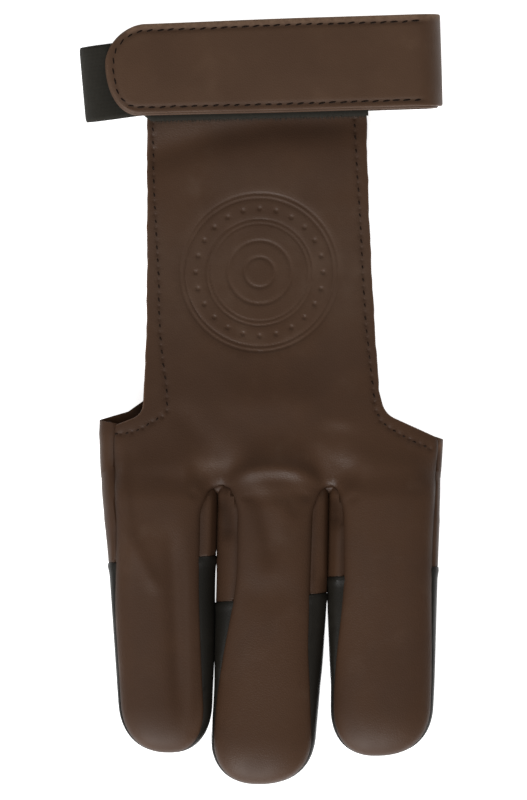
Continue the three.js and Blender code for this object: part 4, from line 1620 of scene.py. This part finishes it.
def band_mesh():
    """The elastic: ribs along it, sewn edges, its slip towards the fingers and a slight shear left of the
    hand.
    """
    run, below = (spaced(band_path(depth), BAND_STEP_LONG) for depth in (0.0, BAND_THICK))
    count = min(len(run), len(below))
    share = np.linspace(0, 1, count)
    paths = []
    for line in (run, below):
        at = np.linspace(0, 1, len(line))
        paths.append(np.column_stack([np.interp(share, at, line[:, 0]), np.interp(share, at, line[:, 1])]))
    across = np.linspace(-1.0, 1.0, BAND_COLUMNS)
    half = BAND_WIDTH / 2
    rib = BAND_RIB * np.cos(across * half / BAND_RIB_PITCH * 2 * math.pi)
    skin, inner = [], []
    for place, lift in zip(across, rib):
        sunk = lift - BAND_EDGE_ROLL * abs(place) ** 24
        centre = (paths[0] + paths[1]) / 2
        outward = (paths[0] - paths[1]) / BAND_THICK
        half_thick = BAND_THICK / 2 + sunk - BAND_RIB
        top, low = centre + outward * half_thick, centre - outward * half_thick
        for target, line in ((skin, top), (inner, low)):
            slip = band_slip(line[:, 0], smooth_step((line[:, 1] - BAND_LOW + 2.0) / 2.0))
            left = smooth_step((BAND_LEAN_AT - line[:, 0]) / BAND_LEAN_REACH)
            lean = BAND_LEAN * half * (1.0 - place) * left
            target.append(np.column_stack([line[:, 0] + lean, place * half - slip, line[:, 1]]))
    flat = [np.concatenate(grid) for grid in (skin, inner)]
    none = np.zeros(len(flat[0]))
    return sheet_object("wrist_elastic", *flat, len(across), count, (none, none), none)


def hairs(name, roots, ways, long, thick):
    """Fine loose fibres, each a thin spike from its root. long: shortest and longest."""
    points, faces = [], []
    for root, way in zip(roots, ways):
        spread = np.array([noise.random() - 0.5 for _ in range(4)])
        way = np.array(way, float) + spread[:3] * (0.9, 0.9, 0.5)
        way /= np.linalg.norm(way)
        tip = np.array(root) + way * mix(*long, spread[3] + 0.5)
        side = np.cross(way, (0.0, 0.0, 1.0))
        side /= max(np.linalg.norm(side), 1e-6)
        other = np.cross(way, side)
        base = len(points)
        for turn in (0.0, 2.1, 4.2):
            points.append(np.array(root) + thick * (side * math.cos(turn) + other * math.sin(turn)))
        points.append(tip)
        faces += [(base, base + 1, base + 3), (base + 1, base + 2, base + 3), (base + 2, base, base + 3),
                  (base + 2, base + 1, base)]
    return new_object(name, points, faces)


def set_outwards(obj):
    with editing(obj) as bm:
        bmesh.ops.recalc_face_normals(bm, faces=bm.faces)


# Fibres of the elastic: how many, how far in from the ends and the edge of the band, and their stray
FIBRES = 460
FIBRE_END = 0.4
FIBRE_ROOT = 0.3
FIBRE_STRAY = 0.3


def band_fibres():
    """Frayed edge of the elastic that shows over the back."""
    left, right = (float(strip_edge(side, WRIST_REACH)) - side * FIBRE_END for side in (-1, 1))
    roots = []
    for x in np.linspace(left, right, FIBRES):
        y = -BAND_WIDTH / 2 - band_slip(x) + FIBRE_ROOT
        x += FIBRE_STRAY * (noise.random() - 0.5)
        roots.append((x, y, BAND_LOW + BAND_THICK * (0.1 + 0.75 * noise.random())))
    obj = hairs("elastic_fibres", roots, [(0.0, -1.0, -0.25)] * len(roots), (0.6, 1.5), 0.13)
    turn_object(obj, BAND_TILT, WRIST_REACH - BAND_DROP)
    return obj


def strap_fuzz():
    """Fibres of leather along the cut edges of the strap's outer layer."""
    line = spaced(strap_outline(0.25, 0.0), 0.3)
    run = np.gradient(line, axis=0)
    line[:, 1] = narrowed(line)
    ways = [(-y, x, 0.1) for x, y in run]
    roots = [(x, y, STRAP_TOP - 0.35 - 0.7 * noise.random()) for x, y in line]
    obj = hairs("strap_fuzz", roots, ways, (0.2, 0.75), 0.04)
    turn_object(obj, STRAP_TILT, WRIST_REACH)
    mark(obj, "raw", np.ones(len(obj.data.vertices)))
    return obj


FUZZ_FROM = 12
FUZZ_TO = 101


def back_fuzz(outline):
    """Fibres of leather along the cut edges of the back."""
    roots, ways = [], []
    for line in outline.cuts[:2]:
        line = line[(line[:, 1] < FUZZ_TO) & (line[:, 1] > FUZZ_FROM)]
        run = np.gradient(line, axis=0)
        height = back_height(line, outline, edges=False)[0]
        roots += [(x, y, z - 0.4 - 0.6 * noise.random()) for (x, y), z in zip(line, height)]
        ways += [(y, -x, 0.1) for x, y in run]
    obj = hairs("back_fuzz", roots, ways, (0.15, 0.4), 0.03)
    mark(obj, "raw", np.ones(len(obj.data.vertices)))
    return obj


def stitch_shape():
    """One stitch, modelled from a sphere: a short thread whose ends dip into their holes."""
    bpy.ops.object.select_all(action="DESELECT")
    bpy.ops.mesh.primitive_uv_sphere_add(segments=8, ring_count=7, radius=1.0, rotation=(0, math.pi / 2, 0))
    ball = bpy.context.object
    bpy.ops.object.transform_apply(location=True, rotation=True, scale=True)
    points = np.array([tuple(vertex.co) for vertex in ball.data.vertices])
    faces = [tuple(face.vertices) for face in ball.data.polygons]
    bpy.data.objects.remove(ball)
    long = np.sign(points[:, 0]) * np.abs(points[:, 0]) ** 0.8
    fall = 0.55 * np.abs(long) ** 3
    return np.column_stack([long, points[:, 1], points[:, 2] - fall]), faces


def stitch_row(line, pitch, length, surface, slant):
    """Centres, directions and lengths of the stitches along a line that lies on a surface."""
    holes = spaced(line, pitch)
    for start, end in zip(holes[:-1], holes[1:]):
        stray = [2.0 * noise.random() - 1.0 for _ in range(4)]
        centre, run = (start + end) / 2 + STITCH_STRAY * np.array(stray[:2]), (end - start)
        direction = math.atan2(run[1], run[0]) + math.radians(slant + 7.0 * stray[2])
        yield np.array((*centre, surface(centre))), direction, length * (1.0 + 0.14 * stray[3])


def stitches_object(name, places, thick):
    shape, faces = stitch_shape()
    points, all_faces = [], []
    for centre, direction, length in places:
        scaled = shape * (length / 2, thick / 2, thick / 2.4)
        cos, sin = math.cos(direction), math.sin(direction)
        base = len(points)
        for x, y, z in scaled:
            points.append((centre[0] + x * cos - y * sin, centre[1] + x * sin + y * cos, centre[2] + z))
        all_faces += [tuple(corner + base for corner in face) for face in faces]
    return new_object(name, points, all_faces)


def strap_outline(inset, more, end=FOLD_RIGHT - 3.0, square=TONGUE_SQUARE):
    """Line inside the strap's edge, from the fold round the tongue and back. more: added inset at the tip."""
    half = STRAP_WIDTH / 2
    tongue = []
    for turn in np.radians(np.linspace(90, 270, 61)):
        side = 1 if math.sin(turn) > 0 else -1
        reach, high, power = TONGUE_REACH[side], half - side * TONGUE_TOP, 2.0 / square[side]
        along, across = abs(math.cos(turn)) ** power, side * abs(math.sin(turn)) ** power
        x = TONGUE_END + reach - (reach - inset - more) * along
        tongue.append((x, TONGUE_TOP + (high - inset) * across))
    return [(end, half - inset), *tongue, (end, inset - half)]


def strap_stitch_line():
    return strap_outline(sizes().strap_stitch_inset / MM, STITCH_MORE, FOLD_RIGHT - 5.5, STITCH_SQUARE)


# ---------------------------------------------------------------- user settings


def length(name, text, value, low=0.0, high=0.01):
    return bpy.props.FloatProperty(name=name, description=text, default=value, min=low, max=high,
                                   subtype="DISTANCE", unit="LENGTH", precision=5)


def dye(name, text, value):
    return bpy.props.FloatVectorProperty(name=name, description=text, default=(*value, 1.0), size=4,
                                         subtype="COLOR", min=0.0, max=1.0)


class GloveSizes(bpy.types.PropertyGroup):
    """Sizes of the leather and the stitching."""

    leather: length("Leather", "Thickness of the leather", 0.0015)
    stitch: length("Stitch", "Length of a stitch on the back whose row has the size 1", 0.001)
    strap_stitch: length("Strap stitch", "Length of one stitch on the strap", 0.0021)
    strap_pitch: length("Strap pitch", "Distance between stitches on the strap", 0.0029)
    strap_stitch_inset: length("Strap stitch inset", "Distance of the stitches from the strap's edge", 0.0019)
    thread: length("Thread", "Thickness of the thread", 0.00046)


class GloveColours(bpy.types.PropertyGroup):
    """Dyes of the leather, the elastic and the thread, and the colours of the painted shade and painted
    sheen.
    """

    brown: dye("Brown", "Brown leather", (0.0462, 0.0226, 0.0119))
    brown_shade: dye("Brown shade", "Darker clouds in the brown leather", (0.0385, 0.0184, 0.0095))
    # The bloom colour is also the colour of the painted sheen on the back
    brown_bloom_and_sheen: dye("Brown bloom", "Pale bloom on the brown leather", (0.068, 0.041, 0.027))
    strap: dye("Strap", "Leather of the strap", (0.0620, 0.0330, 0.0188))
    strap_shade: dye("Strap shade", "Darker clouds in the strap", (0.0540, 0.0280, 0.0155))
    strap_raw: dye("Strap raw edge", "Cut edges and bloom of the strap", (0.144, 0.090, 0.058))
    raw_edge: dye("Raw edge", "Cut edges of the leather", (0.110, 0.056, 0.031))
    # groove is the colour of the painted shade in seams, grooves, joints and the gaps between the fingers
    groove: dye("Groove", "Leather deep in a seam", (0.012, 0.006, 0.0038))
    inner: dye("Inner", "Flesh side of the leather", (0.026, 0.0145, 0.009))
    black: dye("Black", "Black leather", (0.0098, 0.0084, 0.0064))
    black_shade: dye("Black shade", "Darker clouds in the black leather", (0.0062, 0.0054, 0.0040))
    black_bloom: dye("Black bloom", "Pale bloom on the black leather", (0.024, 0.0215, 0.0175))
    band: dye("Elastic", "Elastic band", (0.0270, 0.0245, 0.0190))
    band_shade: dye("Elastic shade", "Hollows of the elastic's weave", (0.0125, 0.0113, 0.0086))
    thread: dye("Thread", "Sewing thread of the back", (0.0215, 0.0118, 0.0076))
    strap_thread: dye("Strap thread", "Sewing thread of the strap", (0.0100, 0.0056, 0.0038))
    thread_shade: dye("Thread shade", "Hollows of the thread's twist", (0.0070, 0.0040, 0.0026))


# ---------------------------------------------------------------- operators


class GLOVE_OT_back(bpy.types.Operator):
    """Build the back leather with its folds, pressed rings and rolled edges."""

    bl_idname = "glove.back"
    bl_label = "Back leather"

    def execute(self, context):
        outline = Outline()
        obj = back_leather_mesh(outline)
        smooth_by_angle(obj, 50)
        finish_piece(obj, "brown_leather", brown_leather(), inner_leather())
        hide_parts("back_panel")
        fuzz = back_fuzz(outline)
        set_outwards(fuzz)
        finish_piece(fuzz, "brown_leather", brown_leather())
        return {"FINISHED"}


class GLOVE_OT_palm(bpy.types.Operator):
    """Build the palm leather and the black finger tips from the same tubes."""

    bl_idname = "glove.palm"
    bl_label = "Palm and tips"

    def execute(self, context):
        under = glove_shell()
        cut(under, above_seams(-SEAM_GAP), "DIFFERENCE")
        outline = Outline()
        seams = [seam_line(finger, side) for finger in FINGERS for side in (-1, 1)]
        for number, finger in enumerate(FINGERS):
            tip = copy_of(under, f"{finger['name']}_tip_leather")
            cut(tip, prism(tip_outline(finger, JOINT_LAP), -REACH, REACH), "INTERSECT")
            add_joint_rows(tip, finger)
            turn_in_edges(tip, seams[2 * number:2 * number + 2], finger=finger)
            smooth_by_angle(tip, 42)
            finish_piece(tip, "black_leather", black_leather())
            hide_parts(f"tip_{finger['name']}")
        palm = under
        palm.name = "palm_leather"
        side_low = KNUCKLE_HEIGHT * WAIST
        keep = prism(palm_outline(False), -REACH, side_low + SEAM_GAP)
        cut(keep, prism(palm_outline(True), side_low, REACH), "UNION")
        cut(palm, keep, "INTERSECT")
        for finger in FINGERS:
            cut(palm, prism(tip_outline(finger, -JOINT_COVER), -REACH, REACH), "DIFFERENCE")
            add_joint_rows(palm, finger)
        turn_in_edges(palm, seams, outline=outline)
        smooth_by_angle(palm, 42)
        finish_piece(palm, "brown_leather", brown_leather())
        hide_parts("palm_panel")
        return {"FINISHED"}


# Piece, its node, depth of its outer face, how much narrower it is on a side, its shift towards the
# wrist and its added length at the tongue
STRAP_LAYERS = [
    ("strap_outer_leather", "strap_face", 0.0, 0.1, 0.1, 0.0),
    ("strap_inner_leather", "strap_backing", STRAP_LAYER + 0.2, 0.0, -0.35, 0.25),
]


class GLOVE_OT_strap(bpy.types.Operator):
    """Build the two layers of the wrist strap."""

    bl_idname = "glove.strap"
    bl_label = "Wrist strap"

    def execute(self, context):
        for name, node, depth, narrow, shift, extra in STRAP_LAYERS:
            obj = strap_sheet(name, depth, STRAP_LAYER + 0.1, STRAP_WIDTH / 2 - narrow, shift, extra)
            turn_object(obj, STRAP_TILT, WRIST_REACH)
            smooth_by_angle(obj, 45)
            finish_piece(obj, "strap_leather", strap_leather())
            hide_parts(node)
        fuzz = strap_fuzz()
        set_outwards(fuzz)
        finish_piece(fuzz, "strap_leather", strap_leather())
        return {"FINISHED"}


class GLOVE_OT_elastic(bpy.types.Operator):
    """Build the elastic band and the loose fibres on its edge."""

    bl_idname = "glove.elastic"
    bl_label = "Elastic band"

    def execute(self, context):
        band = band_mesh()
        turn_object(band, BAND_TILT, WRIST_REACH - BAND_DROP)
        smooth_by_angle(band, 50)
        finish_piece(band, "black_band", woven_band())
        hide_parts("elastic_band")
        fibres = band_fibres()
        set_outwards(fibres)
        finish_piece(fibres, "black_band", woven_band())
        return {"FINISHED"}


# Hooks along the tape and across it, the plain border round them as shares of the tape, and its face
HOOK_ROWS = (58, 17)
HOOK_BORDER = (0.48, 0.46)
HOOK_FACE = 0.28


class GLOVE_OT_hook(bpy.types.Operator):
    """Build the strip of hook tape between the band and the strap."""

    bl_idname = "glove.hook"
    bl_label = "Hook tape"

    def execute(self, context):
        bpy.ops.object.select_all(action="DESELECT")
        centre = np.array((TONGUE_END + HOOK_INSET + HOOK_LENGTH / 2, 0.0, HOOK_LOW + HOOK_THICK / 2))
        bpy.ops.mesh.primitive_grid_add(x_subdivisions=HOOK_ROWS[0], y_subdivisions=HOOK_ROWS[1], size=1.0)
        pad = context.object
        pad.name = "hook_tape"
        bpy.ops.object.mode_set(mode="EDIT")
        bpy.ops.mesh.select_all(action="SELECT")
        bpy.ops.mesh.extrude_region_move(TRANSFORM_OT_translate={"value": (0, 0, -1)})
        bpy.ops.mesh.select_all(action="SELECT")
        bpy.ops.mesh.normals_make_consistent(inside=False)
        bpy.ops.object.mode_set(mode="OBJECT")
        flat = np.array([tuple(vertex.co) for vertex in pad.data.vertices])
        points = flat * (HOOK_LENGTH, HOOK_WIDTH, 0.0)
        top = flat[:, 2] > -0.5
        inner = np.all(np.abs(flat[:, :2]) < HOOK_BORDER, axis=1)
        rows = np.round(flat[:, 0] * HOOK_ROWS[0]) + np.round(flat[:, 1] * HOOK_ROWS[1])
        points[:, 2] = np.where(top, HOOK_THICK * HOOK_FACE, -HOOK_THICK / 2)
        points[top & inner & (rows % 2 == 0), 2] = HOOK_THICK / 2
        move_points(pad, turned_about(points + centre, STRAP_TILT, WRIST_REACH))
        smooth_by_angle(pad, 30)
        finish_piece(pad, "black_hook", woven_band())
        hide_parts("hook_pad")
        return {"FINISHED"}


class GLOVE_OT_stitches(bpy.types.Operator):
    """Sew the rows of stitches on the back and round the strap."""

    bl_idname = "glove.stitches"
    bl_label = "Stitches"

    def execute(self, context):
        outline = Outline()
        thick = sizes().thread / MM

        def on_back(place):
            return float(back_height(np.array([place]), outline, edges=False)[0][0]) + 0.02

        def on_strap(place):
            return STRAP_TOP + float(strap_lie(place[0], place[1])) - 0.22

        back = []
        for row in STITCH_ROWS:
            back += stitch_row(row["line"], row["pitch"], row["size"] * sizes().stitch / MM, on_back, 14)
        obj = stitches_object("back_stitches", back, thick)
        smooth_by_angle(obj, 60)
        finish_piece(obj, "brown_leather", twisted_thread("Back thread", colours().thread))
        pitch, length = sizes().strap_pitch / MM, sizes().strap_stitch / MM
        strap = list(stitch_row(strap_stitch_line(), pitch, length, on_strap, 9))
        obj = stitches_object("strap_stitches", strap, thick)
        points = points_of(obj)
        points[:, 1] = narrowed(points)
        move_points(obj, turned_about(points, STRAP_TILT, WRIST_REACH))
        smooth_by_angle(obj, 60)
        finish_piece(obj, "strap_leather", twisted_thread("Strap thread", colours().strap_thread))
        return {"FINISHED"}


class GLOVE_OT_declare(bpy.types.Operator):
    """Say what each sheet of leather or tape was cut to before it was sewn."""
    # An empty step: it gives no cut sizes of the sheets.

    bl_idname = "glove.declare"
    bl_label = "Cut sizes"

    def execute(self, context):
        return {"FINISHED"}


FLOOR_HALF = 1.5
CAMERA_HEIGHT = 2.6
FRAME_HEIGHT = 0.22
LIGHTS = [
    dict(name="front", place=(-0.35, -1.30, 0.82), size=1.1, power=38.5, shine=True),
    dict(name="back", place=(0.3, 1.15, 0.85), size=1.0, power=9.0, shine=False),
]


class GLOVE_OT_stage(bpy.types.Operator):
    """Lay the pale floor, and place the studio lights and the camera above the glove."""

    bl_idname = "glove.stage"
    bl_label = "Stage"

    def execute(self, context):
        scene = context.scene
        bpy.ops.object.select_all(action="DESELECT")
        bpy.ops.mesh.primitive_plane_add(size=2 * FLOOR_HALF, location=(0, 0, -0.0002))
        floor = context.object
        floor.name = "floor"
        material, wire, shader = new_material("Pale floor")
        place = wire.place()
        tone = wire.mix_colour(wire.noise(place, 3.0), (0.86, 0.86, 0.86, 1), (0.9, 0.9, 0.9, 1))
        wire.link(tone, shader.inputs["Base Color"])
        shader.inputs["Roughness"].default_value = 0.9
        shader.inputs["Specular IOR Level"].default_value = 0.1
        shader.inputs["Emission Color"].default_value = (1.0, 1.0, 1.0, 1.0)
        shader.inputs["Emission Strength"].default_value = 0.8
        floor.data.materials.append(material)
        world = bpy.data.worlds.new("Studio")
        world.use_nodes = True
        background = world.node_tree.nodes["Background"]
        background.inputs["Color"].default_value = (1.0, 0.985, 0.965, 1.0)
        background.inputs["Strength"].default_value = 0.25
        scene.world = world
        for light in LIGHTS:
            data = bpy.data.lights.new(light["name"], "AREA")
            data.shape = "DISK"
            data.size = light["size"]
            data.energy = light["power"]
            lamp = bpy.data.objects.new(light["name"], data)
            lamp.location = light["place"]
            lamp.rotation_euler = (-Vector(light["place"])).to_track_quat("-Z", "Y").to_euler()
            lamp.visible_camera = False
            lamp.visible_glossy = light["shine"]
            scene.collection.objects.link(lamp)
        data = bpy.data.cameras.new("camera")
        camera = bpy.data.objects.new("camera", data)
        data.lens = data.sensor_width * (CAMERA_HEIGHT - 0.007) / FRAME_HEIGHT
        data.clip_end = 20.0
        camera.location = (0.00041, -0.00028, CAMERA_HEIGHT)
        scene.collection.objects.link(camera)
        scene.camera = camera
        scene.view_settings.view_transform = "Standard"
        return {"FINISHED"}


class GLOVE_PT_sidebar(bpy.types.Panel):
    """Settings of the glove and the operators that build it."""

    bl_idname = "GLOVE_PT_sidebar"
    bl_label = "Archery glove"
    bl_space_type = "VIEW_3D"
    bl_region_type = "UI"
    bl_category = "Glove"

    def draw(self, context):
        for group in (context.scene.glove_sizes, context.scene.glove_colours):
            column = self.layout.column()
            for name in group.bl_rna.properties.keys():
                if name not in ("rna_type", "name"):
                    column.prop(group, name)
        for operator in OPERATORS:
            self.layout.operator(operator.bl_idname)


OPERATORS = [GLOVE_OT_back, GLOVE_OT_palm, GLOVE_OT_hook, GLOVE_OT_elastic, GLOVE_OT_strap, GLOVE_OT_stitches,
             GLOVE_OT_declare, GLOVE_OT_stage]
CLASSES = [GloveSizes, GloveColours, *OPERATORS, GLOVE_PT_sidebar]


def register():
    for item in CLASSES:
        bpy.utils.register_class(item)
    bpy.types.Scene.glove_sizes = bpy.props.PointerProperty(type=GloveSizes)
    bpy.types.Scene.glove_colours = bpy.props.PointerProperty(type=GloveColours)


def unregister():
    del bpy.types.Scene.glove_colours
    del bpy.types.Scene.glove_sizes
    for item in reversed(CLASSES):
        bpy.utils.unregister_class(item)


def main():
    register()
    noise.seed_set(SEED)
    for operator in OPERATORS:
        getattr(bpy.ops.glove, operator.bl_idname.split(".")[1])()


if __name__ == "__main__":
    main()
